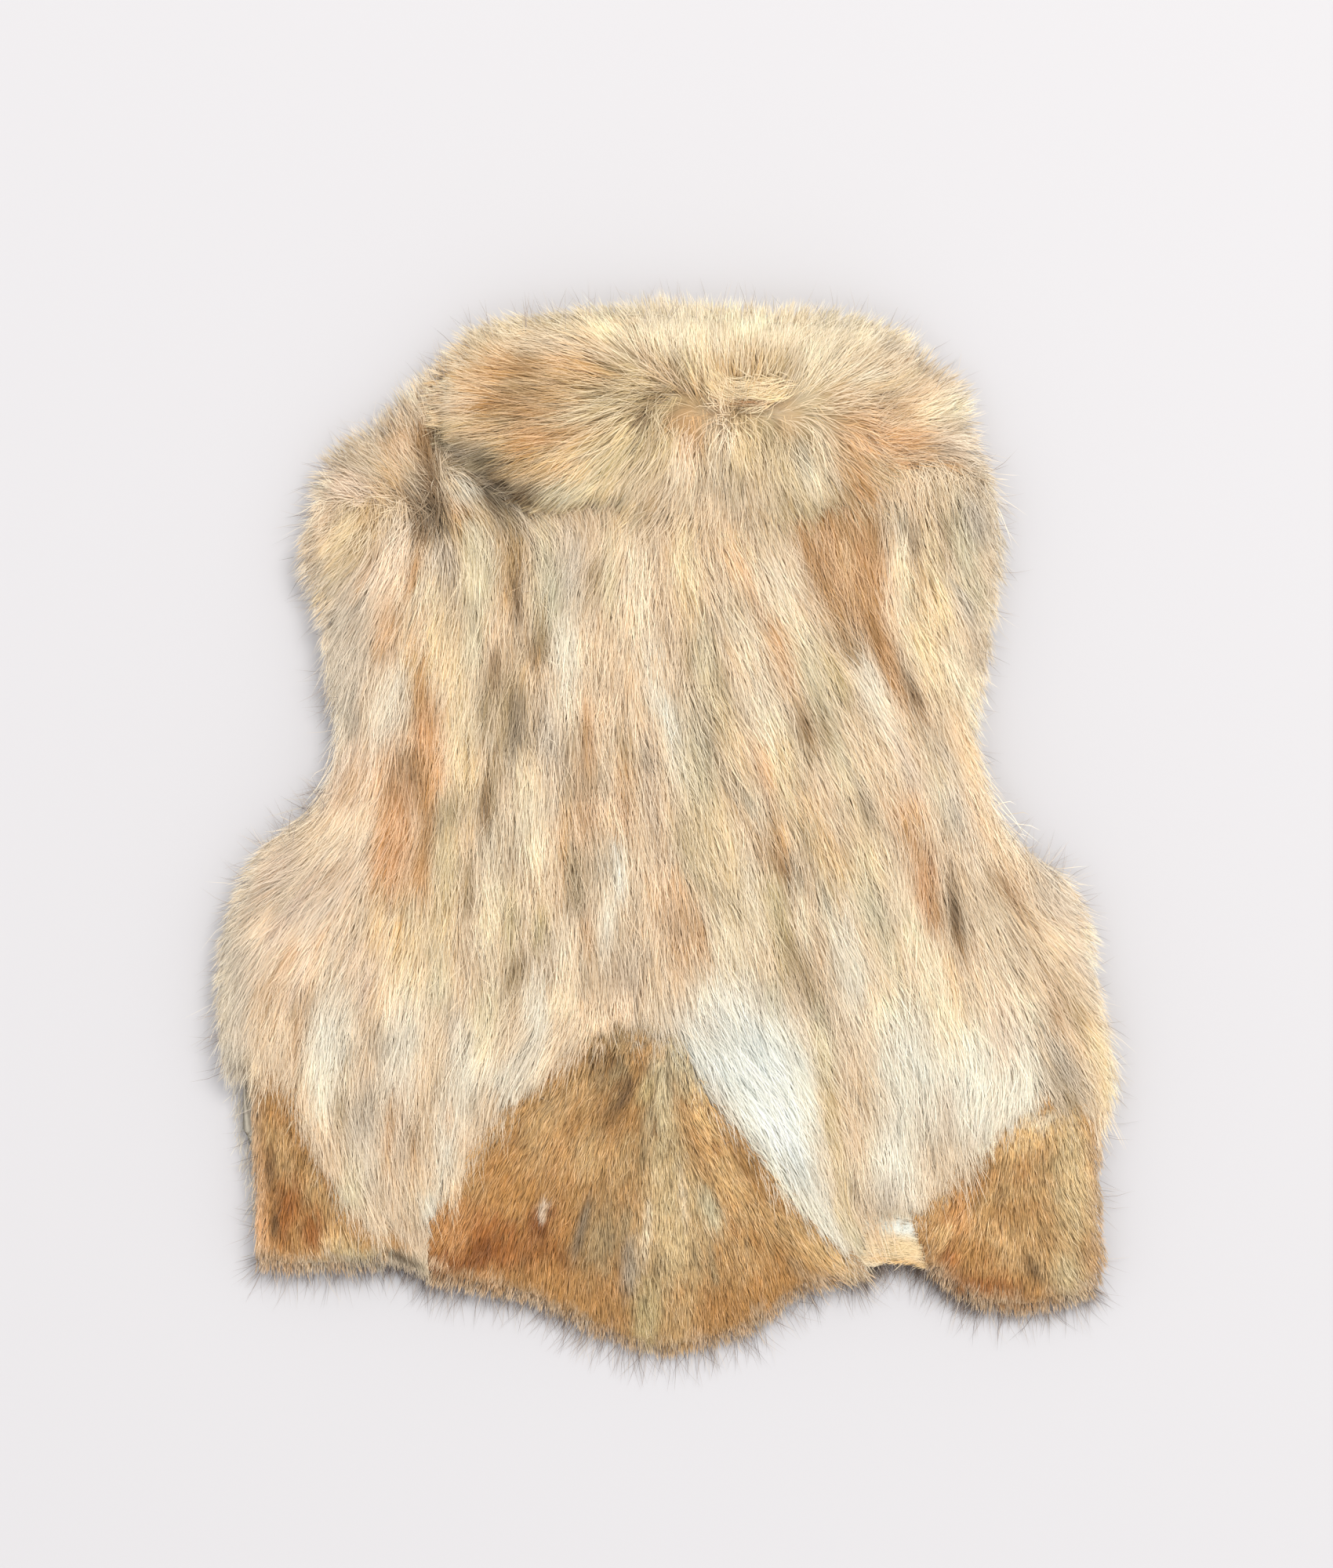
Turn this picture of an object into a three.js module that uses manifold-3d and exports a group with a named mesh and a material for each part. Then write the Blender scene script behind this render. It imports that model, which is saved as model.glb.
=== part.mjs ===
// A fur vest laid face down on a table, back up, in millimetres: +X to the right as seen from above, +Y towards
// the collar, +Z up. The two fronts lie underneath with their fur on the table. The back lies on them in five cuts
// of long and short fur, and the collar is turned down over the back of the neck. Every cut is one pelt: the hide
// with its pile, so a wall is as thick as the fur lies.

import * as THREE from "three";
import { mergeVertices } from "three/addons/utils/BufferGeometryUtils.js";
import Module from "manifold-3d";

const wasm = await Module();
wasm.setup();

// Driving sizes. The vest is 640 long from collar to back point and 550 wide across the fur of the hips.
const SEAM_GAP = 0.3;
const HIDE = 1.2;
const FRONT_PILE = 10.8;
const LONG_PILE = 20.5;
const SHORT_PILE = 11;
const GUSSET_PILE = 4.5;
const SHOULDER_PILE = 18;
const PRESSED_PILE = 10.5;
const COLLAR_PILE = 23;
const FRONT_EDGE = 4;

const FRONT_TOP = HIDE + FRONT_PILE;
const BACK_BED = FRONT_TOP + SEAM_GAP;
const LONG_TOP = BACK_BED + HIDE + LONG_PILE;
const SHORT_TOP = BACK_BED + HIDE + SHORT_PILE;
const GUSSET_TOP = BACK_BED + HIDE + GUSSET_PILE;
const SHOULDER_TOP = BACK_BED + HIDE + SHOULDER_PILE;
const YOKE_TOP = BACK_BED + HIDE + PRESSED_PILE;
const COLLAR_TOP = YOKE_TOP + SEAM_GAP + HIDE + COLLAR_PILE;

// How the fur rounds down at an edge: over what width, and the height that is left at the edge.
const SIDE_ROUND = { width: 34, edge: BACK_BED + 4 };
const HEM_ROUND = { width: 16, edge: BACK_BED + 3 };
const COLLAR_ROUND = { width: 44, edge: YOKE_TOP + 3, rim: BACK_BED + 6 };
const GUSSET_EDGE = GUSSET_TOP - 2.5;

// Mesh steps: of the fur's surface, of a smooth edge, and of the locks along a cut where long fur ends.
const GRID = 12;
const EDGE_STEP = 11;
const LOCK_STEP = 9;
const LOCK_TIP = 3.5;

// The fronts meet along the middle of the chest, and end here. Past their hem the back droops to the table.
const CENTRE_FRONT = { x: 0, hem: -258, collarTip: 46 };
const DROOP = { start: CENTRE_FRONT.hem - 4, reach: 50, depth: 9.5 };
function droop(y) {
  return DROOP.depth * THREE.MathUtils.smoothstep(DROOP.start - y, 0, DROOP.reach);
}

// Where cuts meet, as seen from above.
const AT = {
  collarLeft: [-133, 288],
  collarRight: [144, 301],
  collarPeak: [-24, 318],
  collarCrest: [0, 273],
  collarPart: [-30, 205],
  shoulderLeft: [-214, 205],
  shoulderRight: [198, 217],
  yokeLeft: [-139, 192],
  yokeRight: [125, 221],
  collarNotchLeft: [-138, 247],
  neckLeft: [-85, 265],
  neckRight: [91, 265],
  hipLeft: [-271, -149],
  cornerLeft: [-255, -150],
  hemLeft: [-253, -268],
  hemLeftInner: [-171, -266],
  gussetTopLeft: [-179, -247],
  gussetInnerLeft: [-146, -240],
  pointLeft: [-147, -276],
  pointRight: [125, -275],
  gussetFootRight: [122, -268],
  gussetTopRight: [122, -234],
  gussetInnerRight: [151, -236],
  hemRightInner: [162, -270],
  hipRight: [269, -178],
};

function vectors(points) {
  return points.map(([x, y]) => new THREE.Vector2(x, y));
}

// A smooth stretch of edge through the given points, ends included.
function bend(points, step = EDGE_STEP) {
  const line = new THREE.SplineCurve(vectors(points));
  return line.getSpacedPoints(Math.max(2, Math.round(line.getLength() / step)));
}

// A stretch where long locks end: every other point is drawn out along the fur into a tip.
function locks(points, along = [0, -1]) {
  return bend(points, LOCK_STEP).map((p, i, all) => {
    const inner = i > 0 && i < all.length - 1;
    const reach = inner ? (i % 2 ? LOCK_TIP : -LOCK_TIP) : 0;
    return new THREE.Vector2(p.x + along[0] * reach, p.y + along[1] * reach);
  });
}

function back(stretch) {
  return [...stretch].reverse();
}

// Joins stretches end to end into one closed outline, dropping the points that meet.
function loop(...stretches) {
  const points = stretches.flat();
  return points.filter((p, i) => p.distanceTo(points[(i + 1) % points.length]) > 0.5);
}

// Every cut line and every free edge of the vest, each written once and shared by the pieces on its two sides.
const edge = {
  collarTopLeft: bend([AT.collarLeft, [-111, 307], [-72, 314], AT.collarPeak]),
  collarTopRight: bend([AT.collarPeak, [0, 320], [53, 316], [110, 313], AT.collarRight]),
  armLeft: bend([AT.collarLeft, [-155, 269], [-171, 250], [-202, 230], AT.shoulderLeft]),
  sideLeft: bend([
    AT.shoulderLeft, [-222, 173], [-209, 125], [-209, 96], [-201, 58], [-214, 19], [-250, -14],
    [-271, -62], [-275, -110], AT.hipLeft,
  ]),
  hipLeft: bend([AT.hipLeft, AT.cornerLeft]),
  armRight: bend([AT.collarRight, [156, 288], [180, 269], [187, 240], AT.shoulderRight]),
  sideRight: bend([
    AT.shoulderRight, [206, 173], [197, 115], [190, 58], [208, 0], [251, -38], [263, -91],
    [275, -149], AT.hipRight,
  ]),
  shoulderSeamLeft: locks([AT.shoulderLeft, [-182, 202], [-158, 201], AT.yokeLeft], [-0.5, -0.9]),
  shoulderSeamRight: locks([AT.shoulderRight, [158, 227], AT.yokeRight], [0.5, -0.9]),
  collarSideLeft: bend([AT.collarLeft, [-141, 269], AT.collarNotchLeft]),
  yokeSideLeft: bend([AT.collarNotchLeft, [-139, 221], AT.yokeLeft]),
  yokeTopLeft: bend([AT.collarNotchLeft, [-128, 258], AT.neckLeft]),
  neckline: bend([AT.neckLeft, AT.neckRight], 22),
  yokeTopRight: bend([AT.neckRight, [120, 252], AT.yokeRight]),
  collarSideRight: bend([AT.collarRight, [130, 269], AT.yokeRight]),
  collarFallLeft: locks([AT.collarNotchLeft, [-125, 228], [-101, 214], [-72, 200], AT.collarPart], [-0.7, -0.7]),
  collarPart: bend([AT.collarPart, [-25, 224], [-13, 248], AT.collarCrest]),
  collarFallRight: locks([AT.collarPart, [0, 198], [38, 196], [67, 198], [96, 202], AT.yokeRight], [0.3, -1]),
  collarBackSeam: bend([AT.collarPeak, [-10, 293], AT.collarCrest]),
  collarCrest: bend([AT.collarCrest, [24, 266], [38, 261], [55, 264], [86, 279], [110, 290], AT.collarRight]),
  seamLeft: bend([
    AT.neckLeft, [-86, 202], [-81, 144], [-78, 96], [-91, 48], [-105, -10], [-115, -67],
    [-125, -130], [-133, -182], [-139, -228],
  ]),
  seamRight: bend([
    AT.neckRight, [86, 202], [101, 125], [89, 53], [79, -10], [89, -86], [103, -163], AT.gussetTopRight,
  ]),
  cornerTopLeft: locks([AT.cornerLeft, [-242, -147], [-232, -150]]),
  cornerSideLeft: locks([[-232, -150], [-227, -173], [-216, -197], [-197, -226], AT.gussetTopLeft], [0.3, -1]),
  cornerFootLeft: bend([AT.gussetTopLeft, [-172, -259], AT.hemLeftInner]),
  hemLeft: bend([AT.hemLeftInner, [-202, -269], AT.hemLeft], 16),
  cornerOuterLeft: bend([AT.hemLeft, AT.cornerLeft], 20),
  gussetTopLeft: locks([AT.gussetTopLeft, [-168, -241], AT.gussetInnerLeft]),
  gussetHemLeft: bend([AT.hemLeftInner, [-158, -269], AT.pointLeft]),
  pointFootLeft: bend([AT.gussetInnerLeft, [-146, -259], AT.pointLeft]),
  pointTipLeft: bend([[-139, -228], AT.gussetInnerLeft]),
  pointSideLeft: locks([[-46, -126], [-72, -149], [-101, -173], [-120, -197], [-125, -211], [-139, -228]], [-0.3, -1]),
  pointTop: locks([[-46, -126], [-24, -119], [7, -124]]),
  pointSideRight: locks([[7, -124], [26, -166], [48, -188], [65, -215], [86, -238], [106, -257],
    AT.gussetFootRight], [0.4, -1]),
  pointHem: bend([
    AT.pointLeft, [-120, -281], [-82, -289], [-43, -309], [-10, -320], [10, -320], [53, -307], [72, -291],
    [91, -281], AT.pointRight,
  ]),
  pointFootRight: bend([AT.pointRight, AT.gussetFootRight]),
  gussetSideRight: bend([AT.gussetTopRight, AT.gussetFootRight]),
  gussetTopRight: locks([AT.gussetTopRight, [139, -232], AT.gussetInnerRight]),
  gussetHemRight: bend([AT.gussetFootRight, [129, -267], [145, -265], AT.hemRightInner]),
  cornerFootRight: bend([AT.gussetInnerRight, [155, -250], AT.hemRightInner]),
  cornerSideRight: locks([AT.gussetInnerRight, [170, -218], [187, -201], [209, -182], [226, -172], [240, -169],
    AT.hipRight], [0.2, -1]),
  hemRight: bend([AT.hemRightInner, [182, -286], [202, -294], [221, -295], [245, -290], [263, -283], [269, -264]]),
  cornerOuterRight: bend([[269, -264], [266, -211], AT.hipRight], 18),
};

const outline = {
  back_left: loop(edge.sideLeft, edge.hipLeft, edge.cornerTopLeft, edge.cornerSideLeft, edge.gussetTopLeft,
    back(edge.pointTipLeft), back(edge.seamLeft), back(edge.yokeTopLeft), edge.yokeSideLeft,
    back(edge.shoulderSeamLeft)),
  back_centre: loop(edge.seamLeft, back(edge.pointSideLeft), edge.pointTop, edge.pointSideRight,
    back(edge.gussetSideRight), back(edge.seamRight), back(edge.neckline)),
  back_right: loop(edge.seamRight, edge.gussetTopRight, edge.cornerSideRight, back(edge.sideRight),
    edge.shoulderSeamRight, back(edge.yokeTopRight)),
  hem_left: loop(back(edge.cornerTopLeft), back(edge.cornerOuterLeft), back(edge.hemLeft),
    back(edge.cornerFootLeft), back(edge.cornerSideLeft)),
  hem_centre: loop(back(edge.pointTop), edge.pointSideLeft, edge.pointTipLeft, edge.pointFootLeft, edge.pointHem,
    edge.pointFootRight, back(edge.pointSideRight)),
  hem_right: loop(edge.cornerFootRight, edge.hemRight, edge.cornerOuterRight, back(edge.cornerSideRight)),
  gusset_left: loop(edge.cornerFootLeft, edge.gussetHemLeft, back(edge.pointFootLeft), back(edge.gussetTopLeft)),
  gusset_right: loop(edge.gussetSideRight, edge.gussetHemRight, back(edge.cornerFootRight),
    back(edge.gussetTopRight)),
  shoulder_left: loop(edge.armLeft, edge.shoulderSeamLeft, back(edge.yokeSideLeft), back(edge.collarSideLeft)),
  shoulder_right: loop(edge.collarSideRight, back(edge.shoulderSeamRight), back(edge.armRight)),
  collar_left: loop(edge.collarSideLeft, edge.collarFallLeft, edge.collarPart, back(edge.collarBackSeam),
    back(edge.collarTopLeft)),
  collar_right: loop(back(edge.collarPart), edge.collarFallRight, back(edge.collarSideRight),
    back(edge.collarCrest)),
  collar_top: loop(edge.collarBackSeam, edge.collarCrest, back(edge.collarTopRight)),
};

const wholeCollar = loop(edge.collarSideLeft, edge.collarFallLeft, edge.collarFallRight,
  back(edge.collarSideRight), back(edge.collarTopRight), back(edge.collarTopLeft));
const freeEdge = loop(edge.armLeft, edge.sideLeft, edge.hipLeft, back(edge.cornerOuterLeft), back(edge.hemLeft),
  edge.gussetHemLeft, edge.pointHem, edge.pointFootRight, edge.gussetHemRight, edge.hemRight,
  edge.cornerOuterRight, back(edge.sideRight), back(edge.armRight), back(edge.collarTopRight),
  back(edge.collarTopLeft));

function toSegment(x, y, a, b) {
  const dx = b.x - a.x;
  const dy = b.y - a.y;
  const t = THREE.MathUtils.clamp(((x - a.x) * dx + (y - a.y) * dy) / (dx * dx + dy * dy), 0, 1);
  return Math.hypot(x - a.x - t * dx, y - a.y - t * dy);
}

function toLine(x, y, points, closed) {
  let least = Infinity;
  for (let i = 0; i < points.length - (closed ? 0 : 1); i++) {
    least = Math.min(least, toSegment(x, y, points[i], points[(i + 1) % points.length]));
  }
  return least;
}

function inside(x, y, points) {
  let found = false;
  points.forEach((a, i) => {
    const b = points[(i + 1) % points.length];
    if (a.y > y !== b.y > y && x < a.x + ((y - a.y) * (b.x - a.x)) / (b.y - a.y)) found = !found;
  });
  return found;
}

function into(x, y, points) {
  return inside(x, y, points) ? toLine(x, y, points, true) : 0;
}

function quarterRound(distance, width) {
  const t = 1 - Math.min(distance / width, 1);
  return Math.sqrt(1 - t * t);
}

// The deepest partings and hollows of the long fur, each along one smooth line.
const FOLDS = [
  { depth: 9, width: 9, line: [[-100, 200], [-84, 160], [-77, 96], [-84, 60]] },
  { depth: 6, width: 8, line: [[-140, 190], [-137, 170], [-143, 130]] },
  { depth: 6, width: 10, line: [[-98, 20], [-104, -40], [-112, -100]] },
  { depth: 5, width: 8, line: [[-160, 60], [-172, 10], [-176, -40]] },
  { depth: 7, width: 9, line: [[80, 190], [100, 130], [140, 90], [166, 50]] },
  { depth: 5, width: 7, line: [[140, 190], [144, 150], [150, 120]] },
  { depth: 6, width: 10, line: [[70, 0], [84, -60], [94, -120]] },
  { depth: 5, width: 8, line: [[160, -10], [166, -60], [172, -90]] },
  { depth: 7, width: 7, line: [[104, -150], [112, -190], [121, -225]] },
  { depth: 4, width: 9, line: [[-20, 110], [-34, 50], [-40, -20]] },
  { depth: 4, width: 9, line: [[10, 60], [24, 0], [28, -70]] },
  { depth: 4, width: 10, line: [[-50, 10], [-56, -60], [-60, -110]] },
  { depth: 4, width: 8, line: [[-200, -60], [-190, -110], [-186, -150]] },
  { depth: 4, width: 8, line: [[206, -60], [222, -110], [232, -140]] },
].map((fold) => ({ ...fold, line: bend(fold.line) }));

const COLLAR_FOLDS = [
  { depth: 7, width: 9, line: [[-20, 285], [0, 273], [24, 266], [38, 261], [55, 264], [80, 277], [104, 286]] },
  { depth: 6, width: 9, line: [[0, 273], [-8, 245], [-22, 220]] },
  { depth: 4, width: 8, line: [[-60, 262], [-90, 250], [-118, 246]] },
  { depth: 4, width: 8, line: [[60, 240], [84, 226], [100, 212]] },
].map((fold) => ({ ...fold, line: bend(fold.line) }));

function foldDepth(x, y, folds) {
  return folds.reduce((sum, { depth, width, line }) => {
    const distance = toLine(x, y, line, false) / width;
    return sum + depth * Math.exp(-distance * distance);
  }, 0);
}

// Shallow locks that lie side by side down the fur: crests across it, which wander and swell along it.
const LOCK = { crest: 1.2, swell: 0.85, width: 31, length: 118, wander: 9, spread: 440 };
function lockRise(across, along) {
  const turn = (part, whole) => (part / whole) * Math.PI * 2;
  const wander = LOCK.wander * Math.sin(turn(along, LOCK.length) + turn(across, LOCK.spread));
  const crest = Math.sin(turn(across + wander, LOCK.width));
  const swell = Math.sin(turn(along, LOCK.length) + turn(across, LOCK.length));
  return LOCK.crest * crest + LOCK.swell * swell;
}

// The long fur thins out before it reaches the short pelts, rises from under the collar's edge, and rounds down
// along the free edges.
const THINNING = { short: { width: 36, foot: SHORT_TOP + 3 }, gusset: { width: 36, foot: GUSSET_TOP + 4 } };
const COLLAR_SHADE = { from: 0.5, to: 26 };
function longFur(x, y) {
  let top = LONG_TOP + lockRise(x, y) - foldDepth(x, y, FOLDS);
  for (const name of ["hem_left", "hem_centre", "hem_right", "gusset_left", "gusset_right"]) {
    const near = inside(x, y, outline[name]) ? 0 : toLine(x, y, outline[name], true);
    const { width, foot } = name.startsWith("gusset") ? THINNING.gusset : THINNING.short;
    top = Math.min(top, foot + Math.max(top - foot, 0) * quarterRound(near, width));
  }
  const off = inside(x, y, wholeCollar) ? 0 : toLine(x, y, wholeCollar, true);
  top = YOKE_TOP + (top - YOKE_TOP) * THREE.MathUtils.smoothstep(off, COLLAR_SHADE.from, COLLAR_SHADE.to);
  const { width: side, edge: rim } = SIDE_ROUND;
  return rim + (top - rim) * quarterRound(into(x, y, freeEdge), side);
}

// The short fur lies in small even tufts.
const TUFT = { rise: 0.7, width: 56, length: 82 };
function shortFur(x, y) {
  const across = (x / TUFT.width) * Math.PI * 2;
  const along = (y / TUFT.length) * Math.PI * 2;
  const top = SHORT_TOP + TUFT.rise * Math.sin(across + Math.sin(along)) * Math.sin(along);
  return HEM_ROUND.edge + (top - HEM_ROUND.edge) * quarterRound(into(x, y, freeEdge), HEM_ROUND.width);
}

function gussetFur(x, y) {
  return GUSSET_EDGE + (GUSSET_TOP - GUSSET_EDGE) * quarterRound(into(x, y, freeEdge), HEM_ROUND.width);
}

// A shoulder's fur parts along its seam.
const SHOULDER_PART = { depth: 4, width: 10 };
function shoulderFur(x, y) {
  const seam = Math.min(toLine(x, y, edge.shoulderSeamLeft, false), toLine(x, y, edge.shoulderSeamRight, false));
  const part = SHOULDER_PART.depth * Math.exp(-((seam / SHOULDER_PART.width) ** 2));
  const top = SHOULDER_TOP + lockRise(y, x) - part;
  return SIDE_ROUND.edge + (top - SIDE_ROUND.edge) * quarterRound(into(x, y, freeEdge), SIDE_ROUND.width);
}

// The collar's rim is higher where it lies on the yoke than where it rolls over the neck.
const NECK_ROLL = { low: AT.neckLeft[1] - 30, high: AT.neckLeft[1] + 20 };
function collarFur(x, y) {
  const top = COLLAR_TOP + lockRise(x + y, x - y) - foldDepth(x, y, COLLAR_FOLDS);
  const overNeck = THREE.MathUtils.smoothstep(y, NECK_ROLL.low, NECK_ROLL.high);
  const rim = THREE.MathUtils.lerp(COLLAR_ROUND.edge, COLLAR_ROUND.rim, overNeck);
  return rim + (top - rim) * quarterRound(into(x, y, wholeCollar), COLLAR_ROUND.width);
}

function solid(geometry) {
  geometry.deleteAttribute("normal");
  geometry.deleteAttribute("uv");
  const merged = mergeVertices(geometry, 1e-4);
  return new wasm.Manifold(new wasm.Mesh({
    numProp: 3,
    vertProperties: new Float32Array(merged.attributes.position.array),
    triVerts: new Uint32Array(merged.index.array),
  }));
}

// Moves a closed outline inwards, which leaves half a seam's gap on each side of a cut line.
function inset(points, by) {
  const turn = Math.sign(THREE.ShapeUtils.area(points));
  return points.map((p, i) => {
    const before = points[(i + points.length - 1) % points.length];
    const after = points[(i + 1) % points.length];
    const a = p.clone().sub(before).normalize();
    const b = after.clone().sub(p).normalize();
    const normal = new THREE.Vector2(-(a.y + b.y), a.x + b.x).multiplyScalar(turn).normalize();
    const cosine = Math.max(0.35, Math.abs(normal.x * -a.y * turn + normal.y * a.x * turn));
    return p.clone().addScaledVector(normal, by / cosine);
  });
}

function prism(points, low, high) {
  const made = new THREE.ExtrudeGeometry(new THREE.Shape(points), { depth: high - low, bevelEnabled: false });
  return solid(made.translate(0, 0, low));
}

// A block over the box of an outline, from the table up to the fur's surface.
function block(points, heightAt) {
  const box = new THREE.Box2().setFromPoints(points).expandByScalar(2);
  const nx = Math.ceil((box.max.x - box.min.x) / GRID);
  const ny = Math.ceil((box.max.y - box.min.y) / GRID);
  const made = new THREE.BoxGeometry(1, 1, 1, nx, ny, 1);
  const position = made.attributes.position;
  for (let i = 0; i < position.count; i++) {
    const x = THREE.MathUtils.lerp(box.min.x, box.max.x, position.getX(i) + 0.5);
    const y = THREE.MathUtils.lerp(box.min.y, box.max.y, position.getY(i) + 0.5);
    position.setXYZ(i, x, y, position.getZ(i) > 0 ? heightAt(x, y) - droop(y) : 0);
  }
  return solid(made);
}

// What lies below the back: flat over the fronts, then sloping down past their hem.
const SLOPE_STEPS = 6;
const REACH = 400;
const slope = Array.from({ length: SLOPE_STEPS + 1 }, (_, i) => {
  const y = DROOP.start - (i / SLOPE_STEPS) * DROOP.reach;
  return [-y, BACK_BED - droop(y)];
});
const bedProfile = new THREE.Shape(vectors([[-REACH, BACK_BED], ...slope, [REACH, slope.at(-1)[1]], [REACH, -1],
  [-REACH, -1]]));
const bed = solid(
  new THREE.ExtrudeGeometry(bedProfile, { depth: 2 * REACH, bevelEnabled: false })
    .rotateX(Math.PI / 2)
    .rotateZ(-Math.PI / 2)
    .translate(REACH, 0, 0),
);

function meshOf(name, made, finish) {
  const { vertProperties, triVerts } = made.getMesh();
  const geometry = new THREE.BufferGeometry();
  geometry.setAttribute("position", new THREE.BufferAttribute(new Float32Array(vertProperties), 3));
  geometry.setIndex(new THREE.BufferAttribute(new Uint32Array(triVerts), 1));
  geometry.computeVertexNormals();
  const mesh = new THREE.Mesh(geometry, finish);
  mesh.name = name;
  return mesh;
}

// One pelt cut from a block of fur along its outline, and clear of the room that its neighbour takes.
function pelt(name, heightAt, finish, taken) {
  const points = inset(outline[name], SEAM_GAP / 2);
  const cut = block(points, heightAt).intersect(prism(points, 0, COLLAR_TOP + 20)).subtract(bed);
  return meshOf(name, taken ? cut.subtract(taken) : cut, finish);
}

const fur = (color) => new THREE.MeshStandardMaterial({ color, roughness: 0.85, metalness: 0 });
const longFinish = fur("#dcc7a0");
const shortFinish = fur("#c0915a");
const creamFinish = fur("#e9dcc0");
const collarFinish = fur("#dbc08d");
const frontFinish = fur("#e2d5bf");

// The fronts and the collar's two ends, flat under the back.
const lapel = {
  left: bend([AT.collarLeft, [-124, 236], [-90, 150], [-44, 84], [-CENTRE_FRONT.x, CENTRE_FRONT.collarTip]], 14),
  right: bend([AT.collarRight, [124, 236], [90, 150], [44, 84], [CENTRE_FRONT.x, CENTRE_FRONT.collarTip]], 14),
};
const frontSide = {
  left: bend([AT.hipLeft, [-271, -173], [-268, -192], [-262, -216], [-258, -240], [-250, CENTRE_FRONT.hem]], 14),
  right: bend([AT.hipRight, [264, -192], [266, -211], [262, -240], [250, CENTRE_FRONT.hem]], 14),
};
const chest = (x, from, to) => [new THREE.Vector2(x, from), new THREE.Vector2(x, to)];
const under = {
  front_left: loop(edge.armLeft, edge.sideLeft, frontSide.left,
    chest(-CENTRE_FRONT.x, CENTRE_FRONT.hem, CENTRE_FRONT.collarTip), back(lapel.left)),
  front_right: loop(lapel.right, chest(CENTRE_FRONT.x, CENTRE_FRONT.collarTip, CENTRE_FRONT.hem),
    back(frontSide.right), back(edge.sideRight), back(edge.armRight)),
  collar_end_left: loop(lapel.left, chest(-CENTRE_FRONT.x, CENTRE_FRONT.collarTip, 318),
    back(edge.collarTopLeft).slice(1)),
  collar_end_right: loop(chest(CENTRE_FRONT.x, 318, CENTRE_FRONT.collarTip), back(lapel.right),
    back(edge.collarTopRight).filter((p) => p.x > 8)),
};

// A front pelt, rounded where its fur turns under and flat where it lies on the table.
function frontPelt(name, finish) {
  const shape = new THREE.Shape(inset(under[name], SEAM_GAP / 2 + FRONT_EDGE));
  const made = new THREE.ExtrudeGeometry(shape, {
    depth: FRONT_TOP - 2 * FRONT_EDGE,
    bevelThickness: FRONT_EDGE,
    bevelSize: FRONT_EDGE,
    bevelSegments: 2,
  });
  return meshOf(name, solid(made.translate(0, 0, FRONT_EDGE)), finish);
}

// The collar lies on the pressed fur of the yoke, and each is cut clear of the other.
const YOKE_DEPTH = 110;
const [yokeRightX, yokeRightY] = AT.yokeRight;
const yoke = loop(edge.yokeTopLeft, edge.neckline, edge.yokeTopRight,
  vectors([[yokeRightX, yokeRightY - YOKE_DEPTH], [AT.yokeLeft[0], yokeRightY - YOKE_DEPTH]]),
  back(edge.yokeSideLeft));
const yokeRoom = prism(inset(yoke, -SEAM_GAP / 2), 0, YOKE_TOP + SEAM_GAP);
const collarRoom = prism(inset(wholeCollar, -SEAM_GAP / 2), YOKE_TOP, COLLAR_TOP + 20);

const vest = new THREE.Group();
vest.add(
  frontPelt("front_left", frontFinish),
  frontPelt("front_right", frontFinish),
  frontPelt("collar_end_left", collarFinish),
  frontPelt("collar_end_right", collarFinish),
  pelt("back_left", longFur, longFinish, collarRoom),
  pelt("back_centre", longFur, longFinish, collarRoom),
  pelt("back_right", longFur, longFinish, collarRoom),
  pelt("hem_left", shortFur, shortFinish),
  pelt("hem_centre", shortFur, shortFinish),
  pelt("hem_right", shortFur, shortFinish),
  pelt("gusset_left", gussetFur, creamFinish),
  pelt("gusset_right", gussetFur, creamFinish),
  pelt("shoulder_left", shoulderFur, longFinish),
  pelt("shoulder_right", shoulderFur, longFinish),
  pelt("collar_left", collarFur, collarFinish, yokeRoom),
  pelt("collar_right", collarFur, collarFinish, yokeRoom),
  pelt("collar_top", collarFur, collarFinish, yokeRoom),
);

// The origin is on the table, under the middle of the whole vest.
const middle = new THREE.Box3().setFromObject(vest).getCenter(new THREE.Vector3());
vest.position.set(-middle.x, -middle.y, 0);

export default vest;
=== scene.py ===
import math

import bpy
import numpy as np
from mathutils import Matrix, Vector
from mathutils.bvhtree import BVHTree
from mathutils.kdtree import KDTree


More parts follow.
